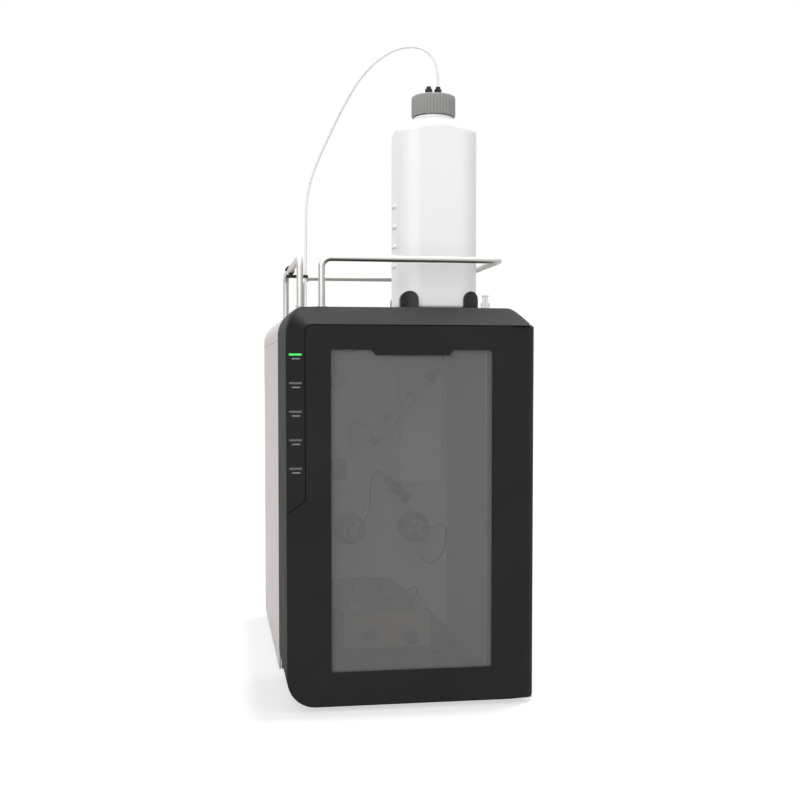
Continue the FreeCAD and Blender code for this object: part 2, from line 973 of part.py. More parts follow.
def hinge_bosses():
    """Solid corners of the door that hold the hinge bores."""
    tall = s.hinge_block
    boxes = []
    for low, high in ((s.door_floor, s.door_floor + tall), (door_top - tall, door_top)):
        boxes.append(brick((hinge_x - s.hinge_reach, front + CUT, low), (right, door_back, high)))
    return boxes


def door():
    points, rounds = door_outline()
    body = bar(points, rounds, front, s.door_thickness).common(plan_form(door_back + 1))
    points, rounds = inner_door_outline()
    hollow = bar(points, rounds, skin_back, s.door_thickness)
    narrow = plan_form(door_back + 20)
    narrow.translate(Vector(-s.door_wall, s.door_wall, 0))
    hollow = hollow.common(narrow)
    for boss in hinge_bosses():
        hollow = hollow.cut(boss)
    points, rounds = window_outline()
    opening = bar(points, rounds, front - 1, s.door_wall + 2)
    bores = [
        rod(s.hinge_pin + s.shaft_gap, s.hinge_boss + 1, (hinge_x, hinge_y, s.door_floor - 0.5)),
        rod(s.hinge_pin + s.shaft_gap, s.hinge_boss + 1, (hinge_x, hinge_y, door_top - s.hinge_boss)),
    ]
    body = body.cut([hollow, opening, *bores])
    node("door_skin", solid("door_moulding", body.removeSplitter()))

    points, rounds = window_outline(s.window_lap, notched=False)
    node("door_window", solid("door_pane", bar(points, rounds, skin_back, s.pane_wall)))

    gap = s.fit_gap
    points, rounds = inner_door_outline()
    plate = bar(points, rounds, liner_front, s.liner_plate)
    narrower = plan_form(door_back + 20)
    narrower.translate(Vector(-s.door_wall - gap, s.door_wall, 0))
    plate = plate.common(narrower)
    slim = [brick((left, front, 0), (left + s.door_wall + gap, rear, top)),
            brick((left, front, 0), (right, rear, s.door_floor + s.door_wall + gap)),
            brick((left, front, door_top - s.door_wall - gap), (right, rear, top))]
    points, rounds = window_outline(s.window_lap, notched=False)
    frame = bar(points, rounds, pane_back, liner_front - pane_back)
    points, rounds = window_outline(s.window_lap - s.liner_lip, notched=False)
    clear = bar(points, rounds, pane_back - 1, s.door_thickness)
    liner = plate.fuse(frame).cut([clear, *slim, *[grown(item, gap) for item in hinge_bosses()]])
    node("door_liner", solid("door_inner_frame", liner.removeSplitter()))


def grown(shape, gap):
    """Box grown by a gap on every side."""
    room = shape.BoundBox
    gap = float(gap)
    return brick((room.XMin - gap, room.YMin - gap, room.ZMin - gap),
                 (room.XMax + gap, room.YMax + gap, room.ZMax + gap))


def hinges():
    """Pin above the door, and a plate under it with the lower pin."""
    pin_length = s.hinge_boss * 2 - CUT
    upper_floor = door_top - s.hinge_boss + CUT / 2
    upper = cylinder("upper_pin", s.hinge_pin, pin_length, (hinge_x, hinge_y, upper_floor))
    plate_front = door_back - s.hinge_reach
    plate = block(
        "lower_hinge_plate",
        (hinge_x - s.hinge_plate_width, plate_front, s.hood_skirt - s.hinge_plate),
        (right - CUT / 2, plate_front + s.hinge_plate_depth, s.hood_skirt))
    pin = cylinder("lower_pin", s.hinge_pin, s.hinge_boss, (hinge_x, hinge_y, s.hood_skirt - CUT))
    node("door_hinge_pins", fuse("hinge_pins", upper, plate, pin))


def catch():
    """Magnet behind the hood's rim that holds the door shut."""
    low = (left + s.hood_wall * 1.5, rim_back, strip_foot - s.magnet_drop)
    high = (low[0] + s.magnet_width, low[1] + s.magnet_depth, low[2] + s.magnet_height)
    node("door_magnet", block("magnet", low, high))


def status_lights():
    middle = left + s.light_inset
    board_front = front + s.hood_wall + s.light_reach
    pipes = []
    for index in range(int(s.light_count.number)):
        level = light_top - index * s.light_pitch
        pipes.append(block(
            f"light_pipe_{index}",
            (middle - s.light_width / 2, front, level - s.light_height / 2),
            (middle + s.light_width / 2, board_front, level + s.light_height / 2)))
    half = s.lamp_board_width / 2
    board = block(
        "lamp_board",
        (middle - half, board_front, light_top - (s.light_count - 1) * s.light_pitch - half),
        (middle + half, board_front + s.lamp_board, light_top + half))
    node("status_lights", fuse("lights", board, *pipes))


# Covers behind the hood
def top_cover():
    wall = s.cover_wall
    length = case_rear - hood_rear
    points = [(left, cover_seam), (right, cover_seam), (right, top), (left, top)]
    shell = bar(points, [0, 0, s.right_round, s.corner_round], hood_rear, length)
    points = [(left + wall, cover_seam - 1), (right - wall, cover_seam - 1),
              (right - wall, top - wall), (left + wall, top - wall)]
    hollow = bar(points, [0, 0, s.right_round - wall, s.corner_round - wall], hood_rear - 1, length + 2)
    shell = shell.cut(hollow)
    tray_low = (left + s.tray_left, front + s.tray_front)
    tray_high = (right - s.tray_right, front + s.tray_rear)
    tub = brick((tray_low[0] - wall, tray_low[1] - wall, tray_level - wall),
                (tray_high[0] + wall, tray_high[1] + wall, top - wall))
    well = brick((*tray_low, tray_level), (*tray_high, top + 1))
    upright = [edge for edge in well.Edges if abs(edge.tangentAt(0).z) > 0.9]
    well = well.makeFillet(float(s.tray_round), upright)
    depth = s.rail_depth + CUT
    holes = [rod(s.rail_radius + s.fit_gap, 2 * depth, (x, y, top - depth)) for x, y in rail_feet_on_cover()]
    holes.append(rod(s.tube_radius + 2 * s.fit_gap, 2 * depth, (*tube_port, top - depth)))
    shell = shell.fuse(tub).cut([well, *holes])
    node("top_cover", solid("cover", shell.removeSplitter()))


def side_panels():
    """Sheets with a fold at the back that takes the screws."""
    for side, edge, inward in (("left", left, 1), ("right", right, -1)):
        inner = edge + inward * s.sheet_wall
        lip = inner + inward * (s.screw_inset + s.screw_radius)
        x_low, x_high = (edge, inner) if inward > 0 else (inner, edge)
        lip_low, lip_high = (inner, lip) if inward > 0 else (lip, inner)
        sheet_side = block(f"{side}_sheet", (x_low, hood_rear, pan_floor), (x_high, case_rear, cover_seam))
        fold = block(f"{side}_fold", (lip_low, panel_rear, pan_floor + s.screw_inset / 3),
                     (lip_high, case_rear, cover_seam - s.screw_inset))
        node(f"{side}_side_panel", fuse(f"{side}_panel", sheet_side, fold))


def data_places():
    return [left + s.data_x + s.data_pitch * index for index in range(3)]


def waste_places():
    return [left + s.waste_x_first + s.waste_pitch * index for index in range(2)]


def rear_panel():
    gap = s.fit_gap
    inner_left = left + s.cover_wall + gap
    width = s.case_width - 2 * (s.cover_wall + gap)
    height = top - s.cover_wall - gap - pan_floor
    slant = s.panel_chamfer
    body = doc.addObject("PartDesign::Body", "rear_sheet")
    sketch = sketch_in(body, "XY_Plane", "rear_outline")
    draw_outline(sketch, [(0, 0), (width, 0), (width, height - slant), (width - slant, height),
                          (slant, height), (0, height - slant)])
    pad = body.newObject("PartDesign::Pad", "rear_pad")
    pad.Profile = sketch
    bind(pad, Length=s.sheet_wall)
    pockets = sketch_in(body, "XY_Plane", "rear_cutouts")
    draw_circle(pockets, (s.fan_x + left - inner_left, s.fan_level - pan_floor), s.fan_size / 2 - s.fan_lip)
    pocket = body.newObject("PartDesign::Pocket", "rear_fan_hole")
    pocket.Profile = pockets
    pocket.Reversed = True
    pocket.Type = 1
    place(body, (inner_left, panel_rear, pan_floor), FORWARD)

    before, behind = panel_front - CUT, panel_rear + CUT
    inlet_x = left + s.inlet_x
    wide, tall = s.inlet_width / 2 + gap, s.inlet_height / 2 + gap
    tools = [block("inlet_hole", (inlet_x - wide, before, s.inlet_level - tall),
                   (inlet_x + wide, behind, s.inlet_level + tall))]
    half = s.data_side / 2 + gap
    for index, x in enumerate(data_places()):
        tools.append(block(f"port_hole_{index}", (x - half, before, s.inlet_level - half),
                           (x + half, behind, s.inlet_level + half)))
    louvre_right = right - s.louvre_inset
    for index in range(int(s.louvre_count.number)):
        level = s.louvre_floor + s.louvre_pitch * index
        tools.append(block(f"louvre_{index}", (louvre_right - s.louvre_width, before, level),
                           (louvre_right, behind, level + s.louvre_height)))
    for index, x in enumerate(waste_places()):
        tools.append(cylinder(f"drain_hole_{index}", s.waste_radius + gap, s.sheet_wall + 2 * CUT,
                              (x, before, s.waste_port_level), BACKWARD))
    node("rear_panel", cut("rear_panel_cut", body, *tools))


def power_entry():
    """Mains inlet with its rocker, which rests leaned to its off side."""
    x, z = left + s.inlet_x, s.inlet_level
    wide, tall = s.inlet_width / 2, s.inlet_height / 2
    lap = s.flange_lap
    shell = block("inlet_shell", (x - wide, panel_rear - s.inlet_depth, z - tall),
                  (x + wide, panel_rear, z + tall))
    flange = block("inlet_flange", (x - wide - lap, panel_rear, z - tall - lap),
                   (x + wide + lap, panel_rear + s.sheet_wall, z + tall + lap))
    half = s.rocker_width / 2
    socket_depth = panel_rear - s.inlet_depth + 2 * lap
    floor = z - tall + s.inlet_wall
    socket = block("inlet_socket", (x - half - CUT, socket_depth, floor), (x + half + CUT, rear, z - CUT))
    axle_y, axle_z = panel_rear - s.rocker_set, z + s.rocker_rise
    seat = block("rocker_seat", (x - half - s.fit_gap, panel_rear - s.rocker_rise, axle_z - s.rocker_room),
                 (x + half + s.fit_gap, rear, axle_z + s.rocker_room))
    bore_half = half + CUT + s.fit_gap
    bore = cylinder("rocker_bore", s.axle_radius + s.shaft_gap, 2 * bore_half,
                    (x - bore_half, axle_y, axle_z), SIDEWAYS)
    moulding = cut("inlet", fuse("inlet_body", shell, flange), socket, seat, bore)
    blades = []
    for index, (across, rise) in enumerate(((-1, 0), (1, 0), (0, 1))):
        middle = x + across * s.blade_pitch
        low = floor + 2 * lap + rise * lap
        blades.append(block(f"inlet_blade_{index}", (middle - CUT, socket_depth, low),
                            (middle + CUT, axle_y - 2 * CUT, low + lap)))
    node("power_inlet", fuse("inlet_with_blades", moulding, *blades))

    lean = math.radians(12)
    tip, crest, waist, keel = s.rocker_tip, s.rocker_crest, s.rocker_waist, s.rocker_keel
    section = [
        (a * math.cos(lean) - b * math.sin(lean), a * math.sin(lean) + b * math.cos(lean))
        for a, b in ((-tip, 0), (-tip, crest), (0, waist), (tip, crest), (tip, 0), (0, -keel))
    ]
    lever = padded("rocker_lever", section, s.rocker_width, (x - half, axle_y, axle_z), CROSSWAYS)
    axle = cylinder("rocker_axle", s.axle_radius, s.rocker_width + 2 * CUT,
                    (x - half - CUT, axle_y, axle_z), SIDEWAYS)
    node("power_rocker", fuse("rocker", lever, axle))


def rear_ports():
    """Data sockets and the barbs that waste tubing is pushed on."""
    level = s.inlet_level
    half = s.data_side / 2
    mouth = half - s.data_wall
    ports = []
    for index, x in enumerate(data_places()):
        body = block(f"port_body_{index}", (x - half, panel_rear - s.data_depth, level - half),
                     (x + half, panel_rear + CUT, level + half))
        hole = block(f"port_mouth_{index}",
                     (x - mouth, panel_rear - s.data_depth + 2 * s.data_wall, level - mouth),
                     (x + mouth, panel_rear + 2 * CUT, level + mouth - s.data_wall))
        ports.append(cut(f"data_port_{index}", body, hole))
    node("data_ports", fuse("ports", *ports))

    barbs = []
    level = s.waste_port_level
    stem = s.waste_length
    for index, x in enumerate(waste_places()):
        start = rear - stem
        tube = cylinder(f"waste_stem_{index}", s.waste_radius, stem, (x, start, level), BACKWARD)
        collar = cylinder(f"waste_collar_{index}", s.waste_collar, s.waste_flange,
                          (x, panel_front - s.waste_flange, level), BACKWARD)
        bore = cylinder(f"waste_bore_{index}", s.waste_bore, stem + 2 * CUT,
                        (x, start - CUT, level), BACKWARD)
        barbs.append(cut(f"waste_barb_{index}", fuse(f"waste_body_{index}", tube, collar), bore))
    node("waste_outlets", fuse("outlets", *barbs))


def fan():
    """Fan housing with its motor, pin and four struts, and the bladed wheel that turns on the pin."""
    x, z = left + s.fan_x, s.fan_level
    fan_front = panel_front - s.fan_depth
    half = s.fan_size / 2
    frame = block("fan_block", (x - half, fan_front, z - half), (x + half, panel_front, z + half))
    duct = cylinder("fan_duct", half - s.fan_pin, s.fan_depth + 2 * CUT, (x, fan_front - CUT, z), BACKWARD)
    shell = cut("fan_shell", frame, duct)
    hub_length = s.fan_depth - 2 * s.fan_end
    motor = cylinder("fan_motor", s.fan_hub, s.fan_end, (x, fan_front, z), BACKWARD)
    pin = cylinder("fan_spindle", s.fan_pin, hub_length, (x, fan_front, z), BACKWARD)
    struts = [
        box(f"fan_strut_{index}", (half - CUT, s.fan_rib, s.fan_rib), (x, fan_front, z),
            Rotation(Vector(0, 1, 0), 45 + 90 * index))
        for index in range(4)
    ]
    node("fan_frame", fuse("fan_housing", shell, motor, pin, *struts))

    wheel = doc.addObject("PartDesign::Body", "fan_wheel")
    sketch = sketch_in(wheel, "XZ_Plane", "fan_hub_section")
    bore = s.fan_pin + s.shaft_gap
    draw_outline(sketch, [(bore, 0), (s.fan_hub, 0), (s.fan_hub, hub_length), (bore, hub_length)])
    hub = wheel.newObject("PartDesign::Revolution", "fan_hub_turned")
    hub.Profile = sketch
    hub.ReferenceAxis = (sketch, ["V_Axis"])
    hub.Angle = 360
    blade_sketch = sketch_in(wheel, "XY_Plane", "fan_blade_outline")
    tip = half - s.fan_pin - s.fan_rib / 2
    root = s.fan_hub - s.fan_pin
    draw_outline(blade_sketch, [
        (root, -s.fan_rib), (tip - CUT, -3 * s.fan_rib), (tip, s.fan_pin), (root, s.fan_end),
    ])
    blade = wheel.newObject("PartDesign::Pad", "fan_blade")
    blade.Profile = blade_sketch
    bind(blade, Length=hub_length - 2 * s.fan_rib)
    repeat(wheel, "fan_blades", blade, s.fan_blades)
    place(wheel, (x, fan_front + s.fan_end + 2 * s.fit_gap, z), BACKWARD)
    node("fan_rotor", wheel)


def panel_screws():
    """Screw heads on the folds of the side panels."""
    low = pan_floor + 3 * s.screw_inset
    high = cover_seam - 3 * s.screw_inset
    sides = (left + s.screw_inset, right - s.screw_inset)
    places = [(x, z) for x in sides for z in (low, (low + high) / 2, high)]
    heads = [
        cylinder(f"screw_head_{index}", s.screw_radius, s.rear_lip, (x, case_rear, z), BACKWARD)
        for index, (x, z) in enumerate(places)
    ]
    node("panel_screws", fuse("screws", *heads))


# Bottle holder, bottle and cap
def bottle_square(side, rounding, low, high):
    half = sized(side) / 2
    corners = [(bottle_x - half, bottle_y - half), (bottle_x + half, bottle_y - half),
               (bottle_x + half, bottle_y + half), (bottle_x - half, bottle_y + half)]
    prism = brick((*corners[0], low), (*corners[2], high))
    return prism.makeFillet(float(rounding), [edge for edge in prism.Edges if abs(edge.tangentAt(0).z) > 0.9])


def bottle_form(inset):
    """Square bottle under a conical shoulder: the common part of a square post and a turned form."""
    inset = float(inset)
    wide = 0.8 * float(s.bottle_side)
    rise = float(s.shoulder_rise)
    neck = float(s.neck_radius) - inset
    base = float(bottle_base) + inset
    shoulder = float(shoulder_top) - inset * 0.3
    eave = shoulder - (wide - neck) * rise
    mouth = float(neck_top) + (1.0 if inset else 0.0)
    half_section = [(0, base), (wide, base), (wide, eave), (neck, shoulder), (neck, mouth), (0, mouth)]
    corners = [Vector(r, 0, z) for r, z in half_section]
    face = Part.Face(Part.makePolygon(corners + corners[:1]))
    form = face.revolve(Vector(0, 0, 0), Vector(0, 0, 1), 360)
    form.translate(Vector(bottle_x, bottle_y, 0))
    post = bottle_square(s.bottle_side - 2 * inset, s.bottle_round - inset, base, mouth)
    return form.common(post)


def bottle():
    body = bottle_form(0)
    half = s.bottle_side / 2
    for index in range(4):
        level = bottle_base + s.grip_rise + index * s.grip_pitch
        grip = brick((bottle_x - half - s.grip_reach, bottle_y - s.grip_length / 2, level),
                     (bottle_x + half + s.grip_reach, bottle_y + s.grip_length / 2, level + s.grip_height))
        body = body.fuse(grip)
    thread_radius = s.neck_radius + s.thread_height
    for turn in range(3):
        level = cap_floor + s.cap_crown + turn * s.thread_pitch
        body = body.fuse(rod(thread_radius, s.thread_width, (bottle_x, bottle_y, level)))
    body = body.cut(bottle_form(s.bottle_wall))
    node("bottle", solid("bottle_blown", body.removeSplitter()))


def bottle_holder():
    """Plate under the bottle with four fingers that follow its corners."""
    inner = s.bottle_side / 2 + s.holder_gap
    outer = inner + s.holder_wall
    rounding = s.bottle_round + s.holder_gap
    wall = bottle_square(2 * outer, rounding + s.holder_wall, top, finger_top)
    well = bottle_square(2 * inner, rounding, bottle_base, finger_top + CUT)
    reach = s.finger_width / 2
    shelf = finger_top - reach
    domes = [brick((bottle_x - outer, bottle_y - outer, top),
                   (bottle_x + outer, bottle_y + outer, bottle_base))]
    for side in (-1, 1):
        x = bottle_x + side * s.finger_offset
        low_y = bottle_y - outer - CUT
        domes.append(brick((x - reach, low_y, top), (x + reach, bottle_y + outer + CUT, shelf)))
        domes.append(rod(reach, 2 * (outer + CUT), (x, low_y, shelf), Vector(0, 1, 0)))
    mask = domes[0].fuse(domes[1:])
    node("bottle_holder", solid("holder", wall.cut(well).common(mask).removeSplitter()))


cap_top = cap_floor + s.cap_height
port_floor = cap_top + CUT


def cap():
    bore = s.neck_radius + s.thread_height + s.fit_gap
    crown = s.cap_height - s.cap_crown
    ring_body = turned("cap_ring", [
        (bore, 0), (s.cap_radius, 0), (s.cap_radius, s.cap_height - s.cap_chamfer),
        (s.cap_radius - s.cap_chamfer, s.cap_height),
        (s.cap_window, s.cap_height), (s.cap_window, crown), (bore, crown),
    ], (bottle_x, bottle_y, cap_floor))
    shy = CUT / 2
    rib_length = s.cap_height - 2 * s.cap_chamfer
    flute(ring_body, "cap", s.cap_ribs, s.cap_radius + shy, shy + s.cap_rib_depth, rib_length)
    node("bottle_cap", ring_body)
    gap = s.fit_gap
    flange = cap_top - s.cap_crown - gap - neck_top
    insert = turned("cap_disc", [
        (0, 0), (s.neck_radius, 0), (s.neck_radius, flange), (s.cap_window - gap, flange),
        (s.cap_window - gap, port_floor - neck_top), (0, port_floor - neck_top),
    ], (bottle_x, bottle_y, neck_top))
    node("cap_insert", insert)
    ports = []
    for side, offset in (("vent", -s.port_offset), ("draw", s.port_offset)):
        nut = hexagon(f"{side}_nut", s.port_width, s.port_height - s.port_collar,
                      (bottle_x + offset, bottle_y, port_floor))
        collar = cylinder(f"{side}_collar", s.port_collar, s.port_height,
                          (bottle_x + offset, bottle_y, port_floor))
        ports += [nut, collar]
    node("cap_fittings", fuse("cap_ports", *ports))


draw_x = bottle_x + s.port_offset


def pickup():
    """Stem and inlet filter inside the bottle."""
    floor = bottle_base + s.bottle_wall + s.pickup_gap
    stem_floor = floor + s.filter_length
    stem = cylinder("pickup_stem", s.tube_radius, neck_top - stem_floor, (draw_x, bottle_y, stem_floor))
    frit = cylinder("filter_frit", s.filter_radius, s.filter_length, (draw_x, bottle_y, floor))
    node("pickup_line", fuse("pickup", stem, frit))


# Eluent tube: up out of the cap, over in one bow, down through its guide into the cover
eluent_route = [
    (64.5, -75.0, 742.5),
    (64.5, -75.0, 757.0),
    (61.9, -74.9, 771.5),
    (55.4, -74.0, 783.5),
    (44.8, -72.2, 790.8),
    (30.0, -68.8, 794.0),
    (12.8, -63.4, 791.2),
    (-3.4, -56.2, 783.6),
    (-18.6, -47.4, 772.1),
    (-33.8, -35.3, 755.0),
    (-49.2, -18.8, 729.6),
    (-62.9, -2.1, 701.9),
    (-75.9, 12.0, 674.0),
    (-86.7, 21.8, 648.4),
    (-93.8, 27.7, 623.0),
    (-97.0, 30.0, 595.0),
    (-97.0, 30.0, 449.0),
]


def eluent_tube():
    radii = natural_radii(eluent_route)
    path = bent_path(eluent_route, radii)
    tube = along_path(path, s.tube_radius)
    section = math.pi * float(s.tube_radius) ** 2
    print("eluent tube radii", [round(radius, 1) for radius in radii])
    print("eluent tube length", round(path.Length, 1), "volume", round(tube.Volume, 1),
          "section times length", round(section * path.Length, 1))
    node("eluent_tube", solid("eluent_line", tube))


def tube_supports():
    """Guide that hooks over the side rail, and the port where the tube goes in."""
    tube_x, tube_y = tube_port
    half = s.guide_width / 2
    grip = s.rail_radius + s.clip_wall
    bore = s.rail_radius + s.shaft_gap
    tube_bore = s.tube_radius + 2 * s.shaft_gap
    floor = rail_level - s.guide_drop - s.guide_thickness / 2
    ceiling = floor + s.guide_thickness
    hook = ring("guide_ring", grip, bore, s.guide_width, (side_rail_x, tube_y - half, rail_level), BACKWARD)
    mouth = block("guide_mouth", (side_rail_x - grip - CUT, tube_y - half - CUT, ceiling),
                  (side_rail_x - CUT, tube_y + half + CUT, rail_level))
    arm = block("guide_arm", (side_rail_x - s.guide_reach, tube_y - half + CUT, floor),
                (tube_x, tube_y + half - CUT, ceiling))
    eye = cylinder("guide_eye", s.eye_radius, s.guide_thickness, (tube_x, tube_y, floor))
    hole = cylinder("guide_bore", tube_bore, s.guide_thickness + 2 * CUT, (tube_x, tube_y, floor - CUT))
    node("tube_clips", cut("guide", fuse("guide_body", cut("guide_hook", hook, mouth), arm, eye), hole))
    base = cylinder("gland_base", s.gland_radius, s.clip_wall, (tube_x, tube_y, top))
    stem = cone("gland_stem", s.gland_radius - s.clip_wall, 2 * s.tube_radius, s.gland_height,
                (tube_x, tube_y, top))
    hole = cylinder("gland_bore", tube_bore, s.gland_height + 2 * CUT, (tube_x, tube_y, top - CUT))
    node("tube_gland", cut("gland", fuse("gland_body", base, stem), hole))


def drain_fitting():
    """Spout on the hood with a wide foot and a thin lip, bored through for a drain tube."""
    bore, stem = s.drain_bore, s.drain_stem
    neck_floor = s.drain_base + CUT
    lip_floor = s.drain_height - s.drain_lip
    half_section = [
        (bore, -4 * stem), (stem, -4 * stem), (stem, 0), (s.drain_radius, 0), (s.drain_radius, s.drain_base),
        (s.drain_neck, neck_floor), (s.drain_neck, lip_floor - CUT / 2), (s.drain_lip_radius, lip_floor),
        (s.drain_lip_radius, s.drain_height), (bore, s.drain_height),
    ]
    node("drain_fitting", turned("drain_spout", half_section, (*drain_place, top)))


# Flow compartment
def bay_liner():
    wall = s.bay_wall
    outer = block("bay_outer", (bay_left - wall, rim_front, pan_top),
                  (bay_right + wall, bay_rear, bay_top + wall))
    inner = block("bay_inner", (bay_left, rim_front - CUT, bay_floor), (bay_right, bay_back, bay_top))
    holes = [(name, x, piston_level, s.plunger_room) for name, x in plunger_places()]
    holes += [(name + "_valve", x, valve_level, 2 * s.shaft_radius) for name, x in valve_places()]
    tools = [
        cylinder(f"{name}_hole", radius, wall + 2 * CUT, (x, bay_back - CUT, level), BACKWARD)
        for name, x, level, radius in holes
    ]
    node("bay_liner", cut("bay", outer, inner, *tools))


def plunger_places():
    half = s.piston_spread / 2
    return [("left", piston_middle - half), ("right", piston_middle + half)]


def valve_places():
    return [("left", left + s.valve_left), ("right", left + s.valve_right)]


def leak_tray():
    """Drip tray with its sensor."""
    wall = 2 * CUT
    low = (bay_left + CUT, rim_front + wall, bay_floor)
    high = (bay_right - CUT, bay_back - CUT, bay_floor + s.tray_rim)
    well_low = [value + wall for value in low]
    well_high = [high[0] - wall, high[1] - wall, high[2] + CUT]
    tray = block("tray_block", low, high)
    node("drip_tray", cut("tray", tray, block("tray_well", well_low, well_high)))
    x, y, z = bay_right - s.sensor_inset, bay_back - s.sensor_stand, bay_floor + wall
    node("leak_sensor", block("sensor", (x, y, z),
                              (x + s.sensor_width, y + s.sensor_depth, z + s.sensor_height)))


piston_middle = left + s.pump_left + s.pump_width / 2
piston_level = s.pump_floor + s.pump_height / 2
head_back = bay_back - s.mount_depth
head_front = head_back - s.head_depth


def valves():
    """Six-port valves: rings on the wall, rotors with their shafts, port discs and actuators behind."""
    bodies = []
    stators = []
    actuators = []
    level = valve_level
    depth = bay_back - ring_front
    shaft = s.shaft_radius
    half = s.actuator_side / 2
    wide = s.valve_stator
    ports = int(s.port_count.number)
    for side, x in valve_places():
        at = (x, ring_front, level)
        bodies.append(cut(
            f"{side}_valve_ring",
            cylinder(f"{side}_valve_outer", s.valve_ring, depth, at, BACKWARD),
            cylinder(f"{side}_valve_seat", s.rotor_radius + s.fit_gap, s.rotor_depth + s.fit_gap,
                     at, BACKWARD),
            cylinder(f"{side}_valve_bore", shaft + s.shaft_gap, depth, at, BACKWARD)))
        node(f"{side}_valve_rotor", fuse(
            f"{side}_rotor",
            cylinder(f"{side}_rotor_disc", s.rotor_radius, s.rotor_depth - s.fit_gap,
                     (x, ring_front + s.fit_gap, level), BACKWARD),
            cylinder(f"{side}_rotor_shaft", shaft, depth + 2 * shaft,
                     (x, ring_front + 2 * shaft, level), BACKWARD)))
        stators.append(turned(f"{side}_stator", [
            (0, 0), (wide - shaft, 0), (wide, shaft), (wide, s.stator_depth), (0, s.stator_depth),
        ], (x, valve_front, level), BACKWARD))
        for index in range(ports):
            angle = math.radians(360 * (index + 0.5) / ports)
            across, up = s.port_ring * math.cos(angle), s.port_ring * math.sin(angle)
            spot = (x + across, valve_front - s.nut_length, level + up)
            stators.append(hexagon(f"{side}_port_{index}", s.nut_width, s.nut_length, spot, BACKWARD))
        case = block(f"{side}_actuator_case", (x - half, bay_rear, level - half),
                     (x + half, bay_rear + s.actuator_depth, level + half))
        bore = cylinder(f"{side}_actuator_bore", shaft + s.fit_gap, s.actuator_depth / 3,
                        (x, bay_rear - CUT, level), BACKWARD)
        actuators.append(cut(f"{side}_actuator", case, bore))
    node("valve_bodies", fuse("valve_rings", *bodies))
    node("valve_stators", fuse("stators", *stators))
    node("valve_actuators", fuse("actuators", *actuators))


def pump():
    """Two-plunger pump: head block on its mount, plungers, two knobs and four check valves."""
    pump_left = left + s.pump_left
    pump_right = pump_left + s.pump_width
    low, high = s.pump_floor, s.pump_floor + s.pump_height
    knobs = [("prime", left + s.prime_x, s.prime_level), ("waste", left + s.waste_x, s.waste_level)]
    stem = s.shaft_radius
    depth = s.knob_depth
    grip = depth - stem
    stem_reach = 2 * stem
    bore_depth = s.plunger_reach + s.piston_stroke + 2 * stem
    tools = []
    for name, x in plunger_places():
        tools.append(cylinder(f"{name}_plunger_bore", s.piston_radius + s.shaft_gap, bore_depth,
                              (x, head_back - bore_depth + CUT, piston_level), BACKWARD))
    for name, x, level in knobs:
        tools.append(cylinder(f"{name}_stem_bore", stem + s.shaft_gap, stem_reach + 3 * CUT,
                              (x, head_front - CUT, level), BACKWARD))
    head = block("head_block", (pump_left, head_front, low), (pump_right, head_back, high))
    node("pump_head", cut("head", head, *tools))
    mount = block("head_plate", (pump_left, head_back, low), (pump_right, bay_back, high))
    holes = [cylinder(f"{name}_plate_bore", s.plunger_room, s.mount_depth + 2 * CUT,
                      (x, head_back - CUT, piston_level), BACKWARD) for name, x in plunger_places()]
    node("pump_mount", cut("head_mount", mount, *holes))
    foot = s.foot_plate
    for (name, x), ahead in zip(plunger_places(), (0, s.piston_stroke)):
        tip = head_back - s.plunger_reach - ahead
        collar = drive_front - s.fit_gap - foot - ahead
        node(f"{name}_piston", fuse(
            f"{name}_plunger",
            cylinder(f"{name}_plunger_rod", s.piston_radius, collar - tip, (x, tip, piston_level), BACKWARD),
            cylinder(f"{name}_plunger_foot", s.plunger_foot, foot, (x, collar, piston_level), BACKWARD)))
    for name, x, level in knobs:
        knob = turned(f"{name}_grip", [
            (0, 0), (s.knob_radius - CUT, 0), (s.knob_radius, CUT), (s.knob_radius, grip),
            (stem, grip), (stem, depth + stem_reach), (0, depth + stem_reach),
        ], (x, head_front - depth + CUT, level), BACKWARD)
        flute(knob, name, s.knob_flutes, s.knob_radius + s.flute_radius * 0.6, s.flute_radius, depth - foot)
        node(f"{name}_knob", knob)
    checks = []
    middle = head_front + s.head_depth / 2
    sides = (("left", pump_left + s.check_inset, 0), ("right", pump_right - s.check_inset, foot))
    for side, x, shorter in sides:
        rise = s.check_rise - shorter
        fall = s.check_fall
        checks.append(cylinder(f"{side}_upper_check", s.check_radius, rise, (x, middle, high)))
        checks.append(cylinder(f"{side}_check_nut", s.check_nut, s.check_nut_length,
                               (x, middle, high + rise)))
        checks.append(cylinder(f"{side}_lower_check", s.check_radius, fall, (x, middle, low - fall)))
    node("check_valves", fuse("checks", *checks))


drive_front = bay_rear + s.drive_gap


def pump_drive():
    """Closed drive box with its motor behind the pump."""
    low = pan_top
    half = s.drive_width / 2
    drive_back = drive_front + s.drive_length
    drive = block("drive_box", (piston_middle - half, drive_front, low),
                  (piston_middle + half, drive_back, low + s.drive_height))
    foot = block("drive_foot", (piston_middle - half - s.plunger_room, drive_front + s.mount_depth, low),
                 (piston_middle + half + s.plunger_room, drive_front + 3 * s.mount_depth, low + s.foot_plate))
    node("pump_drive", fuse("drive", drive, foot))
    node("pump_motor", cylinder("drive_motor", s.motor_radius, s.motor_length,
                                (piston_middle, drive_back, low + s.drive_height / 2), BACKWARD))


# Columns, cell and cartridges on the back of the compartment
def tilted(radius, start, end, level):
    """Round bar between two places on the front view, at a depth."""
    a = Vector(start[0], level, start[1])
    b = Vector(end[0], level, end[1])
    return rod(radius, (b - a).Length, a, b - a)


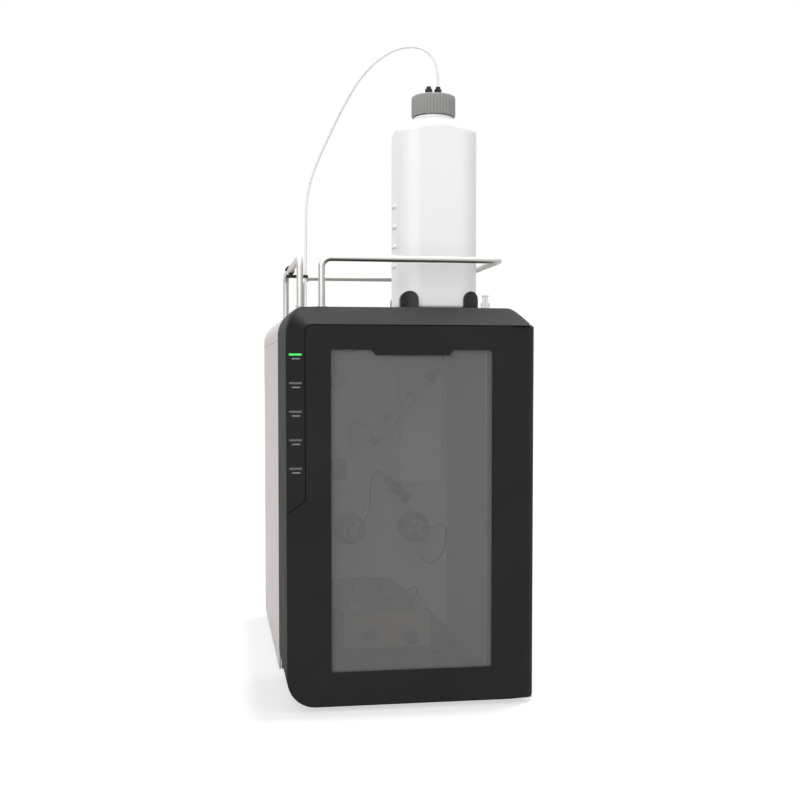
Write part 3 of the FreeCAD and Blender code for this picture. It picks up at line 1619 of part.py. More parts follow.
def columns():
    """Separator column with its end nuts, the guard column, and the clips that hold them off the wall."""
    level = column_level
    above = (bay_right - s.column_right, bay_top - s.column_drop)
    below = (bay_right - s.column_left, above[1] - s.column_fall)
    node("separator_column", solid("column_tube", tilted(s.column_radius, above, below, level)))
    run = math.hypot(above[0] - below[0], above[1] - below[1])
    step = [float(a - b) / run for a, b in zip(above, below)]
    reach = float(s.end_length)
    tips = [[float(end) + sign * reach * part for end, part in zip(spot, step)]
            for spot, sign in ((above, 1), (below, -1))]
    guard_start = (bay_right - s.guard_left, bay_top - s.guard_drop)
    guard_end = (guard_start[0] + s.guard_side, guard_start[1] - s.guard_side)
    fittings = [tilted(s.end_radius, tips[0], above, level), tilted(s.end_radius, below, tips[1], level),
                tilted(s.guard_radius, guard_start, guard_end, level)]
    node("guard_and_nuts", solid("dark_fittings", Part.makeCompound(fittings)))
    half = s.guard_radius
    seats = [(below, above, 0.7, card_front), (below, above, 0.3, bay_back),
             (guard_start, guard_end, 0.5, bay_back)]
    clips = []
    for first, last, share, back in seats:
        x, z = [a + share * (b - a) for a, b in zip(first, last)]
        clips.append(brick((x - half, level + half / 2, z - half), (x + half, back, z + half)))
    x, z = left + s.cell_x - half, guard_start[1] - 2 * CUT
    clips.append(brick((x, level, z), (x + 3 * half, bay_back, z + 4 * half)))
    holder = clips[0].fuse(clips[1:])
    holder = holder.cut([tilted(s.column_radius + s.shaft_gap, above, below, level),
                         tilted(s.guard_radius + s.shaft_gap, guard_start, guard_end, level)])
    node("column_clips", solid("clips_on_panel", holder))


card_front = bay_back - s.card_depth


def cell_and_cartridges():
    """Conductivity cell, suppressor and the flat cartridge on the compartment's back wall."""
    x = left + s.cell_x
    half = s.cell_width / 2
    high = bay_top - s.cell_drop
    body = block("cell_block", (x - half, valve_front, high - s.cell_height), (x + half, bay_back, high))
    stem = cylinder("cell_nut", s.shaft_radius, s.cell_nut_length, (x, valve_front + s.plunger_reach, high))
    node("conductivity_cell", fuse("cell", body, stem))
    x = bay_right - s.suppressor_x
    half = s.suppressor_width / 2
    high = bay_top - s.suppressor_drop
    case = block("suppressor_case", (x - half, valve_front + s.card_depth, high - s.suppressor_height),
                 (x + half, bay_back, high))
    nut = cylinder("suppressor_nut", s.check_nut, s.check_nut_length,
                   (x, valve_front + 2 * s.mount_depth, high))
    node("suppressor", fuse("suppressor_body", case, nut))
    card_right = bay_right - s.card_inset
    card_left = card_right - s.card_width
    card_top = bay_top - s.card_drop
    plate = block("cartridge_plate", (card_left, card_front, card_top - s.card_height),
                  (card_right, bay_back, card_top))
    grip_low = (card_right - s.grip_inset - s.grip_width, card_front - s.guard_radius, card_top - s.grip_drop)
    grip_high = (card_right - s.grip_inset, card_front, card_top - s.grip_drop + s.grip_tall)
    node("generator_cartridge", fuse("cartridge", plate, block("cartridge_grip", grip_low, grip_high)))


def small_tubing():
    """Narrow tubing between pump, valves and columns, bent with arcs and held at both ends."""
    level = float(valve_front - s.nut_length)
    wall_level = float(column_level)
    high = float(s.pump_floor + s.pump_height)
    middle = float(head_front + s.head_depth / 2)
    pump_left = float(left + s.pump_left)
    first = pump_left + float(s.check_inset)
    last = pump_left + float(s.pump_width - s.check_inset)
    first_top = high + float(s.check_rise + s.check_nut_length)
    last_top = first_top - float(s.foot_plate)
    slack = 18.0
    ahead = middle - 14
    pump_line = [
        (first, middle, first_top), (first, middle, first_top + slack), (first + 20, ahead, first_top + 24),
        (first + 33, ahead, first_top + 12), (first + 38, middle, first_top - 4),
        (first + 54, middle, first_top - 10),
        (last - 14, middle, last_top + 6), (last, middle, last_top + 12), (last, middle, last_top),
    ]
    across_port = float(s.port_ring) * math.cos(math.radians(30))
    up_port = float(s.port_ring) * math.sin(math.radians(30))
    valve_z = float(valve_level)
    x = float(left + s.valve_right)
    loop = [
        (x + across_port, level, valve_z + up_port), (x + across_port, level - 16, valve_z + up_port),
        (x + 34, level - 18, valve_z + 12), (x + 36, level + 10, valve_z - 30),
        (x + 14, level - 6, valve_z - 46), (x - across_port, level - 16, valve_z - 20),
        (x - across_port, level - 14, valve_z - up_port), (x - across_port, level, valve_z - up_port),
    ]
    x = float(left + s.valve_left)
    guard_x = float(bay_right - s.guard_left)
    guard_z = float(bay_top - s.guard_drop)
    across = [
        (x + across_port, level, valve_z + up_port), (x + across_port, level - 12, valve_z + up_port),
        (x + 20, level - 12, valve_z + 26), (x + 22, level + 6, valve_z + 60),
        (guard_x - 12, wall_level, guard_z + 12), (guard_x, wall_level, guard_z),
    ]
    cell_x = float(left + s.cell_x)
    cell_z = float(bay_top - s.cell_drop + s.cell_nut_length)
    cell_y = float(valve_front + s.plunger_reach)
    tip_x, tip_z = float(bay_right - s.column_right) + 7.5, float(bay_top - s.column_drop) + 8.2
    under = float(bay_top) - 12
    upper = [
        (cell_x, cell_y, cell_z), (cell_x, cell_y, under - 12), (cell_x + 32, cell_y - 3, under - 2),
        (cell_x + 82, wall_level, under), (tip_x + 1.5, wall_level, under - 2),
        (tip_x + 15.5, wall_level, under - 10), (tip_x + 9, wall_level, under - 25),
        (tip_x, wall_level, tip_z),
    ]
    lines = (pump_line, loop, across, upper)
    runs = [along_path(bent_path(line, natural_radii(line)), s.line_radius) for line in lines]
    node("flow_tubing", solid("flow_lines", Part.makeCompound(runs)))


# Electronics behind the compartment
def electronics():
    """Main board on the right wall, power supply and degasser on the pan."""
    board_x = right - s.sheet_wall - s.board_gap
    board_top = top - s.board_drop
    board_back = panel_front - s.fan_depth - s.board_gap
    plate = block("board_plate", (board_x, bay_rear, s.board_floor),
                  (board_x + s.board_thickness, board_back, board_top))
    side = s.chip_side
    chips = []
    for row in range(3):
        for column in range(2):
            y = bay_rear + side + column * s.chip_pitch
            z = s.board_floor + side / 2 + row * s.chip_pitch
            chips.append(block(f"chip_{row}_{column}", (board_x - s.chip_height, y, z),
                               (board_x, y + side, z + side)))
    margin = s.mount_depth
    corners = [(y, z) for y in (bay_rear + margin, board_back - margin)
               for z in (s.board_floor + margin, board_top - margin)]
    posts = [
        cylinder(f"standoff_{index}", s.shaft_radius, s.board_gap - s.board_thickness,
                 (board_x + s.board_thickness, y, z), SIDEWAYS)
        for index, (y, z) in enumerate(corners)
    ]
    node("main_board", fuse("board", plate, *chips, *posts))
    low = (piston_middle + s.motor_radius + s.foot_plate,
           drive_front + s.drive_length + s.drive_gap, pan_top)
    high = (right - s.board_gap - s.hood_rim, panel_front - s.inlet_depth - s.screw_inset,
            pan_top + s.supply_height)
    node("power_supply", block("supply_box", low, high))
    low = (left + s.board_gap, bay_rear + s.drive_gap + s.degasser_width, pan_top)
    high = (low[0] + s.degasser_width, low[1] + s.degasser_depth, pan_top + s.degasser_height)
    node("degasser", block("degasser_box", low, high))


def build():
    base_pan()
    rubber_feet()
    front_hood()
    rails()
    door()
    hinges()
    catch()
    status_lights()
    top_cover()
    side_panels()
    rear_panel()
    power_entry()
    rear_ports()
    fan()
    panel_screws()
    bottle()
    bottle_holder()
    cap()
    pickup()
    eluent_tube()
    tube_supports()
    drain_fitting()
    bay_liner()
    leak_tray()
    valves()
    pump()
    pump_drive()
    columns()
    cell_and_cartridges()
    small_tubing()
    electronics()


def check_and_write():
    """Recompute, stop if anything failed, then write each piece to its own file."""
    doc.recompute()
    faults = [item.Name for item in doc.Objects if {"Invalid", "Error"} & set(item.State)]
    faults += [name for name, item in nodes.items() if item.Shape.isNull() or not item.Shape.isValid()]
    if faults:
        raise SystemExit("not built: " + ", ".join(faults))
    for name, item in nodes.items():
        item.Shape.exportStep(f"parts/{name}.step")
    print(len(nodes), "pieces written")


build()
check_and_write()
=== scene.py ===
# %% [markdown]
# An ion chromatograph sorts the salts in a drop of water. This one stands on a bench: a black hood with a smoked
# door in front, a grey painted case behind, and an eluent bottle on the top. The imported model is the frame: it says
# where every piece is, in metres, so that the looks only have to dress it.

# %% The frame
import math

import bmesh
import bpy
import numpy as np
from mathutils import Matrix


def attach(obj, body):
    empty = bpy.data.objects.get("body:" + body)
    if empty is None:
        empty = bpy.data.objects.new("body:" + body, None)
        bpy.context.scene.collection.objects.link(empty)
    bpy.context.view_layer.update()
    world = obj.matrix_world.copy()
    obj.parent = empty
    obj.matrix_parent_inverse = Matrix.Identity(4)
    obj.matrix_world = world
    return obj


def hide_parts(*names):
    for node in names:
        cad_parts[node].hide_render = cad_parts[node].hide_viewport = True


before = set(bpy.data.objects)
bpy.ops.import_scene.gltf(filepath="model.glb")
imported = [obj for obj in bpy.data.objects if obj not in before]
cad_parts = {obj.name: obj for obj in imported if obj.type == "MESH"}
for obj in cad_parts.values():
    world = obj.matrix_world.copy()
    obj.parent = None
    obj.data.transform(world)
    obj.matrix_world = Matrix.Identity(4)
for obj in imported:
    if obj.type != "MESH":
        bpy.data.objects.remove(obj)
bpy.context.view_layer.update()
MM = 0.001

# %% [markdown]
# The camera comes first, because every later choice is judged through it. The photograph's own vanishing lines gave
# its place, its turn and its lens. The picture is an upright crop of a wider view, which the small shift repeats.

# %% The camera
camera_data = bpy.data.cameras.new("studio_camera")
camera_data.lens = 52.65
camera_data.sensor_width = 36.0
camera_data.shift_y = 0.0341
camera_data.clip_end = 50.0
camera = bpy.data.objects.new("studio_camera", camera_data)
camera.location = (-0.2215, -1.5574, 0.376)
camera.rotation_euler = (math.radians(90 - 2.56), 0.0, math.radians(-9.08))
bpy.context.scene.collection.objects.link(camera)
bpy.context.scene.camera = camera
print("camera at", tuple(camera.location))

# %% [markdown]
# Materials are small sums of sockets. Writing them as Python expressions keeps them readable, so one class wraps a
# socket and lets plus, minus and times add Math nodes, and a second class holds one finish and adds any other node
# by its type, its settings and its sockets.


# %% Shader sums
class Wire:
    """A value in a node tree; sums of wires and numbers add Math nodes."""

    def __init__(self, finish, socket):
        self.finish = finish
        self.socket = socket

    def sum(self, operation, *terms):
        values = {index: term for index, term in enumerate(terms)}
        return self.finish.node("ShaderNodeMath", {"operation": operation}, values)

    def __add__(self, other):
        return self.sum("ADD", self, other)

    def __sub__(self, other):
        return self.sum("SUBTRACT", self, other)

    def __rsub__(self, other):
        return self.sum("SUBTRACT", other, self)

    def __mul__(self, other):
        return self.sum("MULTIPLY", self, other)

    def __gt__(self, other):
        return self.sum("GREATER_THAN", self, other)

    __radd__ = __add__
    __rmul__ = __mul__


class Finish:
    """One material: constants on its shader, and nodes where something changes over the surface."""

    def __init__(self, name, **constants):
        self.material = bpy.data.materials.new(name)
        self.material.use_nodes = True
        self.tree = self.material.node_tree
        self.shader = self.tree.nodes["Principled BSDF"]
        for socket, value in constants.items():
            self.set(socket, value)

    def set(self, socket, value):
        """Give a shader socket a constant or a wire; its name is written with underscores."""
        self.fill(self.shader.inputs[socket.replace("_", " ")], value)
        return self

    def fill(self, socket, value):
        if isinstance(value, Wire):
            self.tree.links.new(value.socket, socket)
        elif hasattr(socket.default_value, "__len__") and len(value) < len(socket.default_value):
            socket.default_value = (*value, 1.0)
        else:
            socket.default_value = value

    def node(self, kind, settings, values, output=0):
        """Add a node: settings first, then the values or wires of its sockets, then the wanted output."""
        item = self.tree.nodes.new(kind)
        for key, value in settings.items():
            if key == "stops":
                for index, (place, colour) in enumerate(value):
                    stops = item.color_ramp.elements
                    stop = stops[index] if index < 2 else stops.new(place)
                    stop.position = place
                    stop.color = (*colour, 1.0)
            else:
                setattr(item, key, value)
        for key, value in values.items():
            self.fill(item.inputs[key], value)
        return Wire(self, item.outputs[output])

    def place(self):
        """Where a point is, in the object's own metres, as a vector and as its three parts."""
        here = self.node("ShaderNodeTexCoord", {}, {}, "Object")
        parts = self.tree.nodes.new("ShaderNodeSeparateXYZ")
        self.tree.links.new(here.socket, parts.inputs[0])
        return here, [Wire(self, socket) for socket in parts.outputs]

    def noise(self, scale, detail=2.0):
        """Cloudy noise between 0 and 1; scale is in cells a metre."""
        here, _ = self.place()
        return self.node("ShaderNodeTexNoise", {}, {"Vector": here, "Scale": scale, "Detail": detail}, "Fac")

    def blend(self, mask, first, second):
        """Colour that goes from first to second as the mask goes from 0 to 1."""
        mix = self.tree.nodes.new("ShaderNodeMix")
        mix.data_type = "RGBA"
        for socket, value in ((mix.inputs[0], mask), (mix.inputs[6], first), (mix.inputs[7], second)):
            self.fill(socket, value)
        return Wire(self, mix.outputs[2])

    def grain(self, scale, height):
        """Fine relief of a moulded or painted skin; height is in metres."""
        bump = self.node("ShaderNodeBump", {}, {"Strength": 1.0, "Distance": height, "Height": self.noise(scale, 3.0)})
        return self.set("Normal", bump)


# %% [markdown]
# Moulded plastic and paint are never one flat tone. Each takes its colour from two close shades that drift over a
# few centimetres, a roughness that drifts with them, and a grain too fine to count. The strength of each is a number
# here, so that one function serves every moulding and every painted sheet.


# %% Mouldings and paint
def satin(name, colour, roughness, drift=0.08, grain_scale=900.0, grain_height=0.00002, **constants):
    """Dielectric skin: colour times one plus or minus drift, roughness plus or minus a fifth of itself."""
    finish = Finish(name, **constants)
    cloud = finish.noise(14.0)
    darker = [part * (1.0 - drift) for part in colour]
    lighter = [part * (1.0 + drift) for part in colour]
    finish.set("Base_Color", finish.blend(cloud, darker, lighter))
    finish.set("Roughness", cloud * (0.3 * roughness) + 0.85 * roughness)
    if grain_height:
        finish.grain(grain_scale, grain_height)
    return finish.material


black_moulding = satin("hood_black", (0.0105, 0.0105, 0.0107), 0.78, grain_scale=1400.0, grain_height=0.000012,
                       Specular_IOR_Level=0.2)
liner_black = satin("liner_black", (0.030, 0.030, 0.031), 0.55)
case_paint = satin("case_paint", (0.546, 0.502, 0.477), 0.45, 0.02, 1100.0, 0.000015)
fitting_black = satin("fitting_black", (0.010, 0.010, 0.0105), 0.35, Specular_IOR_Level=0.25)
dark_plastic = satin("dark_plastic", (0.045, 0.045, 0.048), 0.45)
cap_grey = satin("cap_grey", (0.275, 0.27, 0.26), 0.5, 0.05)
knob_grey = satin("knob_grey", (0.20, 0.20, 0.20), 0.4)
beige_polymer = satin("beige_polymer", (0.46, 0.37, 0.24), 0.4, 0.06)
white_plastic = satin("white_plastic", (0.78, 0.78, 0.77), 0.35, 0.02, 600.0, 0.000005)
rubber_black = satin("rubber_black", (0.025, 0.025, 0.025), 0.8, 0.15, 700.0, 0.00004)
board_green = satin("board_green", (0.02, 0.13, 0.06), 0.35, 0.1)
print("mouldings and paints:", len(bpy.data.materials))

# %% [markdown]
# The compartment is painted light grey. Its lower part, where the pump sits, carries a painted shadow, which ends at
# one level on the left, and from the middle on falls away to the right and to the front, as a slanted plane cuts the
# walls. The right wall carries painted shade, a shade darker. Masks that are 0 or 1 choose between the tones.

# %% The compartment's paint and painted shade
SHADOW_EDGE_TOP, SHADOW_EDGE_RIGHT, SIDE_WALL = 0.1086, 0.0416, 0.0855
bay_finish = Finish("bay_paint_and_painted_shade", Roughness=0.5)
_, (across, depth, height) = bay_finish.place()
slant = (0.086 - across) * 0.852 + (depth + 0.0336) * 0.005 + SHADOW_EDGE_RIGHT
# painted shadow: darker below the slanted plane and below one level, over the lower part where the pump sits
painted_shadow_mask = (slant > height) * ((height * -1.0) > -SHADOW_EDGE_TOP)
# painted shade: the right wall is darker than the back wall
wall_with_painted_shade = bay_finish.blend(across > SIDE_WALL, (0.68, 0.68, 0.68), (0.32, 0.32, 0.32))
bay_finish.set("Base_Color", bay_finish.blend(painted_shadow_mask, wall_with_painted_shade, (0.22, 0.22, 0.22)))
bay_paint_and_painted_shade = bay_finish.material

# %% [markdown]
# Steel and aluminium reflect instead of scattering. A rail is polished along its length, a folded sheet is zinc
# plated with a faint spangle, and a milled block is a little duller. All three are the metal shader with their own
# roughness, broken by noise so that a highlight is not perfectly clean.


# %% Metals
def metal(name, colour, roughness, scale):
    """Metal whose roughness drifts with noise of a given scale."""
    finish = Finish(name, Metallic=1.0, Base_Color=colour)
    finish.set("Roughness", finish.noise(scale, 4.0) * (0.35 * roughness) + 0.8 * roughness)
    return finish.material


rail_steel = metal("rail_steel", (0.43, 0.42, 0.405), 0.36, 30.0)
plated_steel = metal("plated_steel", (0.58, 0.59, 0.60), 0.38, 25.0)
milled_aluminium = metal("milled_aluminium", (0.66, 0.66, 0.67), 0.42, 90.0)

# %% [markdown]
# Some skins let light through. The door's pane is a smoked sheet: most of what reaches the eye is its own grey
# haze, and the compartment shows through the rest. The bottle is a milky resin, and the feed tube is the same in a
# thinner wall, drawn opaque. Alpha gives the others, which also survives the journey to other programs.

# %% See-through skins
pane = Finish("smoked_pane", Base_Color=(0.190, 0.190, 0.190), Roughness=0.25, Alpha=0.46).material
resin = Finish("bottle_resin", Base_Color=(0.95, 0.95, 0.95), Roughness=0.35, Alpha=0.98).material
tube_skin = Finish("tube_skin", Base_Color=(0.88, 0.88, 0.87), Roughness=0.4).material
spout_clear = Finish("spout_clear", Base_Color=(0.90, 0.89, 0.87), Roughness=0.3, Alpha=0.45).material
line_clear = Finish("line_clear", Base_Color=(0.60, 0.60, 0.58), Roughness=0.3, Alpha=0.85).material

# %% [markdown]
# Five light windows run down the strip beside the door, and only the first is lit. They are one moulding, so the
# lit one is told apart by its height: a mask that is 1 above a level feeds both the colour and the glow.

# %% Lights
LIT_LEVEL = 0.385
window_light = Finish("light_windows", Roughness=0.4, Emission_Strength=1.0)
_, (_, _, level) = window_light.place()
lit = level > LIT_LEVEL
window_light.set("Base_Color", window_light.blend(lit, (0.10, 0.097, 0.094), (0.02, 0.20, 0.05)))
window_light.set("Emission_Color", window_light.blend(lit, (0.0, 0.0, 0.0), (0.03, 0.75, 0.10)))
mark_print = Finish("mark_print", Base_Color=(0.20, 0.20, 0.20), Roughness=0.6).material

# %% [markdown]
# Every new surface is a grid of points. Rows and columns of a numpy array become quads, and a grid may close on
# itself either way: a lathe closes round its axis, a frame closes round its opening too. Points that fall together
# at a pole or a tip are merged, and the faces are then turned outwards.


# %% Surfaces from grids
def skin(name, grid, around=True, across=False, caps=False):
    """Mesh over a grid of shape rows, columns, 3; around closes each row, across joins last row to first."""
    grid = np.asarray(grid, float)
    rows, columns = grid.shape[:2]
    index = np.arange(rows * columns).reshape(rows, columns)
    if around:
        index = np.concatenate([index, index[:, :1]], axis=1)
    if across:
        index = np.concatenate([index, index[:1]], axis=0)
    corners = [index[:-1, :-1], index[:-1, 1:], index[1:, 1:], index[1:, :-1]]
    faces = np.stack(corners, axis=-1).reshape(-1, 4).tolist()
    if caps:
        faces += [list(range(columns)), list(range((rows - 1) * columns, rows * columns))]
    mesh = bpy.data.meshes.new(name)
    mesh.from_pydata((grid.reshape(-1, 3) * MM).tolist(), [], faces)
    tidy(mesh)
    piece = bpy.data.objects.new(name, mesh)
    bpy.context.scene.collection.objects.link(piece)
    return piece


def tidy(mesh, flat=0.0):
    """Merge points that coincide, join faces that are flatter than an angle, and turn every face outwards."""
    form = bmesh.new()
    form.from_mesh(mesh)
    bmesh.ops.remove_doubles(form, verts=form.verts, dist=2e-6)
    bmesh.ops.dissolve_degenerate(form, edges=form.edges, dist=1e-7)
    if flat:
        bmesh.ops.dissolve_limit(form, angle_limit=math.radians(flat), verts=form.verts, edges=form.edges)
    bmesh.ops.recalc_face_normals(form, faces=form.faces)
    form.to_mesh(mesh)
    form.free()
    spare = mesh.attributes.get("custom_normal")
    if spare:
        mesh.attributes.remove(spare)
    mesh.shade_smooth()


def settle(piece, material, body, slot, *nodes, edge=0.0, sharp=32):
    """Dress a piece, round its sharp edges, give it its body and hide the nodes that it stands for; slot is not used.
    """
    piece.data.materials.clear()
    piece.data.materials.append(material)
    if edge:
        bevel = piece.modifiers.new("edge", "BEVEL")
        bevel.width = edge * MM
        bevel.segments = 2
        bevel.limit_method = "ANGLE"
        bevel.angle_limit = math.radians(sharp)
        bevel.harden_normals = True
    else:
        piece.data.set_sharp_from_angle(angle=math.radians(sharp))
    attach(piece, body)
    if nodes:
        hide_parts(*nodes)
    return piece


# %% [markdown]
# The feed tube runs in one bow from the bottle cap, over the rails, down through its guide and into the cover. It
# repeats the route of the model's tube, and a spline that bends smoothly past those points gives it the even curve
# of an extruded tube.

# %% The feed tube
FEED_ROUTE = [
    (64.5, -75.0, 742.5), (64.5, -75.0, 757.0), (61.9, -74.9, 771.5), (55.4, -74.0, 783.5), (44.8, -72.2, 790.8),
    (30.0, -68.8, 794.0), (12.8, -63.4, 791.2), (-3.4, -56.2, 783.6), (-18.6, -47.4, 772.1), (-33.8, -35.3, 755.0),
    (-49.2, -18.8, 729.6), (-62.9, -2.1, 701.9), (-75.9, 12.0, 674.0), (-86.7, 21.8, 648.4), (-93.8, 27.7, 623.0),
    (-97.0, 30.0, 595.0), (-97.0, 30.0, 449.0),
]
feed_curve = bpy.data.curves.new("feed_tube", "CURVE")
feed_curve.dimensions = "3D"
feed_curve.bevel_depth = 1.6 * MM
feed_curve.bevel_resolution = 6
feed_curve.resolution_u = 16
feed_curve.use_fill_caps = True
feed_spline = feed_curve.splines.new("NURBS")
feed_spline.points.add(len(FEED_ROUTE) - 1)
feed_points = np.column_stack([np.array(FEED_ROUTE) * MM, np.ones(len(FEED_ROUTE))])
feed_spline.points.foreach_set("co", feed_points.ravel())
feed_spline.order_u = 3
feed_spline.use_endpoint_u = True
feed_tube = bpy.data.objects.new("feed_tube", feed_curve)
bpy.context.scene.collection.objects.link(feed_tube)
feed_tube.data.materials.append(tube_skin)
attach(feed_tube, "case")
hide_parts("eluent_tube")

# %% [markdown]
# The case has one front outline that hood, door and cover share: a tall rectangle whose corners are arcs. A corner
# is known by its point and its radius, and moving the outline inwards moves each corner along its own bisector and
# shrinks its radius. Everything in front is then drawn as loops about one middle, cut by the same fan of rays, so
# that loops of different shape still join column by column.

# %% Outlines
LEFT, RIGHT, FRONT, TOP = -142.5, 142.5, -270.0, 457.0
SKIRT, DOOR_FLOOR, DOOR_TOP = 5.2, 5.6, 430.8
DOOR_BACK, RIM, HOOD_REAR = -249.0, -248.6, -112.0
SEAM_X = LEFT + 21.4
STRIP_BEND, STRIP_FOOT = 237.0, 221.0
SEAM, WALL, RIGHT_ROUND = 0.8, 4.0, 20.0
MIDDLE = np.array([0.0, 225.0])


def inset(corners, radii, distance):
    """Corners moved inwards by a distance along their bisectors; round corners keep their centres."""
    corners = np.asarray(corners, float)
    ahead = np.roll(corners, -1, axis=0) - corners
    ahead /= np.linalg.norm(ahead, axis=1, keepdims=True)
    inward = np.column_stack([-ahead[:, 1], ahead[:, 0]])
    before = np.roll(inward, 1, axis=0)
    shift = (inward + before) / (1.0 + np.sum(inward * before, axis=1, keepdims=True))
    turn = np.roll(ahead, 1, axis=0)[:, 0] * ahead[:, 1] - np.roll(ahead, 1, axis=0)[:, 1] * ahead[:, 0]
    radii = np.asarray(radii, float)
    smaller = np.where(radii > 0, np.maximum(radii - np.sign(turn) * distance, 0.01), 0.0)
    return corners + shift * distance, smaller


def loop(corners, radii, steps=14):
    """Closed outline: each corner is an arc from tangent point to tangent point, in equal turns."""
    corners = np.asarray(corners, float)
    radii = np.maximum(np.asarray(radii, float), 0.005)[:, None]
    back = np.roll(corners, 1, axis=0) - corners
    ahead = np.roll(corners, -1, axis=0) - corners
    back /= np.linalg.norm(back, axis=1, keepdims=True)
    ahead /= np.linalg.norm(ahead, axis=1, keepdims=True)
    half = np.arccos(np.clip(np.sum(back * ahead, axis=1, keepdims=True), -1, 1)) / 2
    bisector = back + ahead
    bisector /= np.linalg.norm(bisector, axis=1, keepdims=True)
    centre = corners + bisector * radii / np.sin(half)
    first = corners + back * radii / np.tan(half) - centre
    last = corners + ahead * radii / np.tan(half) - centre
    swing = np.pi - 2 * half
    share = np.linspace(0, 1, steps)[None, :, None]
    weight = np.sin((1 - share) * swing[:, None]) / np.sin(swing[:, None])
    other = np.sin(share * swing[:, None]) / np.sin(swing[:, None])
    arcs = centre[:, None] + first[:, None] * weight + last[:, None] * other
    return arcs.reshape(-1, 2)


def bearing(points):
    """Angle of points about the middle of the front."""
    return np.arctan2(points[:, 1] - MIDDLE[1], points[:, 0] - MIDDLE[0])


def cut_by_rays(outline, angles):
    """Distance from the middle to an outline along each ray: crossings of the ray's line with every edge."""
    start = outline - MIDDLE
    edge = np.roll(outline, -1, axis=0) - outline
    ray = np.stack([np.cos(angles), np.sin(angles)], axis=1)
    across = ray[:, None, 0] * edge[None, :, 1] - ray[:, None, 1] * edge[None, :, 0]
    across = np.where(np.abs(across) < 1e-12, 1e-12, across)
    reach = (start[None, :, 0] * edge[None, :, 1] - start[None, :, 1] * edge[None, :, 0]) / across
    along = (start[None, :, 0] * ray[:, None, 1] - start[None, :, 1] * ray[:, None, 0]) / across
    hit = (along > -1e-9) & (along < 1 + 1e-9) & (reach > 0)
    return np.where(hit, reach, np.inf).min(axis=1)


def at_rays(distance, angles):
    return MIDDLE + distance[:, None] * np.stack([np.cos(angles), np.sin(angles)], axis=1)


case_corners = [(LEFT, SKIRT), (RIGHT, SKIRT), (RIGHT, TOP), (LEFT, TOP)]
case_rounds = [32.0, 10.0, 10.0, 33.0]
door_corners = [(LEFT, DOOR_FLOOR), (RIGHT, DOOR_FLOOR), (RIGHT, DOOR_TOP), (SEAM_X, DOOR_TOP),
                (SEAM_X, STRIP_BEND), (LEFT, STRIP_FOOT)]
door_rounds = [32.0, 5.0, 0.0, 8.0, 6.0, 0.0]
window_corners = [(-92.9, 43.4), (90.6, 43.4), (90.6, 404.2), (45.5, 404.2), (40.5, 398.1),
                  (-42.2, 398.1), (-47.2, 404.2), (-92.9, 404.2)]
window_rounds = [3.0, 3.0, 3.0, 1.0, 1.0, 1.0, 1.0, 3.0]


def right_front(x, radius=RIGHT_ROUND, base=FRONT):
    """Depth of the front face: flat, then a quarter round that turns into the right side."""
    past = np.clip(x - (RIGHT - RIGHT_ROUND), 0.0, radius)
    return base + radius - np.sqrt(radius ** 2 - past ** 2)


# %% [markdown]
# The door is a moulded frame about its window. Walking round its section gives the rows of the grid: the back edge,
# the outer side, a fan of rows that follow the rounded right edge, the flat face, the lip of the window, and the
# hollow behind. The same walk on every ray closes the frame both ways.

# %% The door's frame
door_rows = []
turns = np.radians(np.linspace(0, 90, 9))
insets = RIGHT_ROUND * (1 - np.cos(turns))
loops = [loop(*inset(door_corners, door_rounds, distance)) for distance in insets]
window_loop = loop(window_corners, window_rounds, 6)
hollow_loop = loop(*inset(door_corners, door_rounds, WALL))
angles = np.unique(np.round(np.concatenate([bearing(item) for item in loops + [window_loop, hollow_loop]]), 5))
reaches = [cut_by_rays(item, angles) for item in loops]
window_reach = cut_by_rays(window_loop, angles)
hollow_reach = cut_by_rays(hollow_loop, angles)


def depth_row(reach, depth):
    """One row of a frame: places on the rays, and a depth that is a number or a rule of x."""
    flat = at_rays(reach, angles)
    return np.stack([flat[:, 0], depth(flat[:, 0]) if callable(depth) else np.full(len(flat), depth), flat[:, 1]], axis=1)


def hollow_front(x):
    """Inner face of the door's skin: one wall behind the front, and round inside the rounded edge."""
    inside = RIGHT_ROUND - WALL
    past = np.clip(x - (RIGHT - RIGHT_ROUND), 0.0, inside)
    return FRONT + RIGHT_ROUND - np.sqrt(inside ** 2 - past ** 2)


door_rows = [depth_row(reaches[0], DOOR_BACK)]
door_rows += [depth_row(reach, right_front) for reach in reaches]
door_rows += [depth_row(window_reach, right_front), depth_row(window_reach, FRONT + WALL)]
door_rows += [depth_row(hollow_reach, hollow_front), depth_row(hollow_reach, DOOR_BACK)]
door_skin = skin("door_frame", door_rows, across=True)
settle(door_skin, black_moulding, "door", "black_moulding", "door_skin", edge=0.7)
print("door frame faces:", len(door_skin.data.polygons))

# %% [markdown]
# The pane is a flat sheet that laps behind the frame's lip, so only its face shows.


# %% The smoked pane
def slab(name, outline, near, far):
    """Plate: one outline at two depths, closed by two flat faces."""
    rows = [np.column_stack([outline[:, 0], np.full(len(outline), depth), outline[:, 1]]) for depth in (near, far)]
    return skin(name, rows, caps=True)


pane_corners = [(-92.9, 43.4), (90.6, 43.4), (90.6, 404.2), (-92.9, 404.2)]
pane_outline = loop(*inset(pane_corners, [3.0] * 4, -6.0), 5)
settle(slab("smoked_window", pane_outline, FRONT + WALL, FRONT + WALL + 3), pane, "door", "smoked_pane",
       "door_window")

# %% [markdown]
# The hood wraps the door. In front it shows only above and to the left: a brow that slopes up and back, and a strip
# for the lights. Where they meet, the slope fans out about the strip's corner, steep on top and flat at the side.
# All of it is a height over the front plane: behind it by four times the rise on the brow, and by four times the
# sixth power of the sine of the bearing on the fan. The round of the right front edge climbs the brow with it.
# Behind the door's free edges the hood starts at the door's back, and leans away from it towards the hinge, where the
# door's corner swings round.

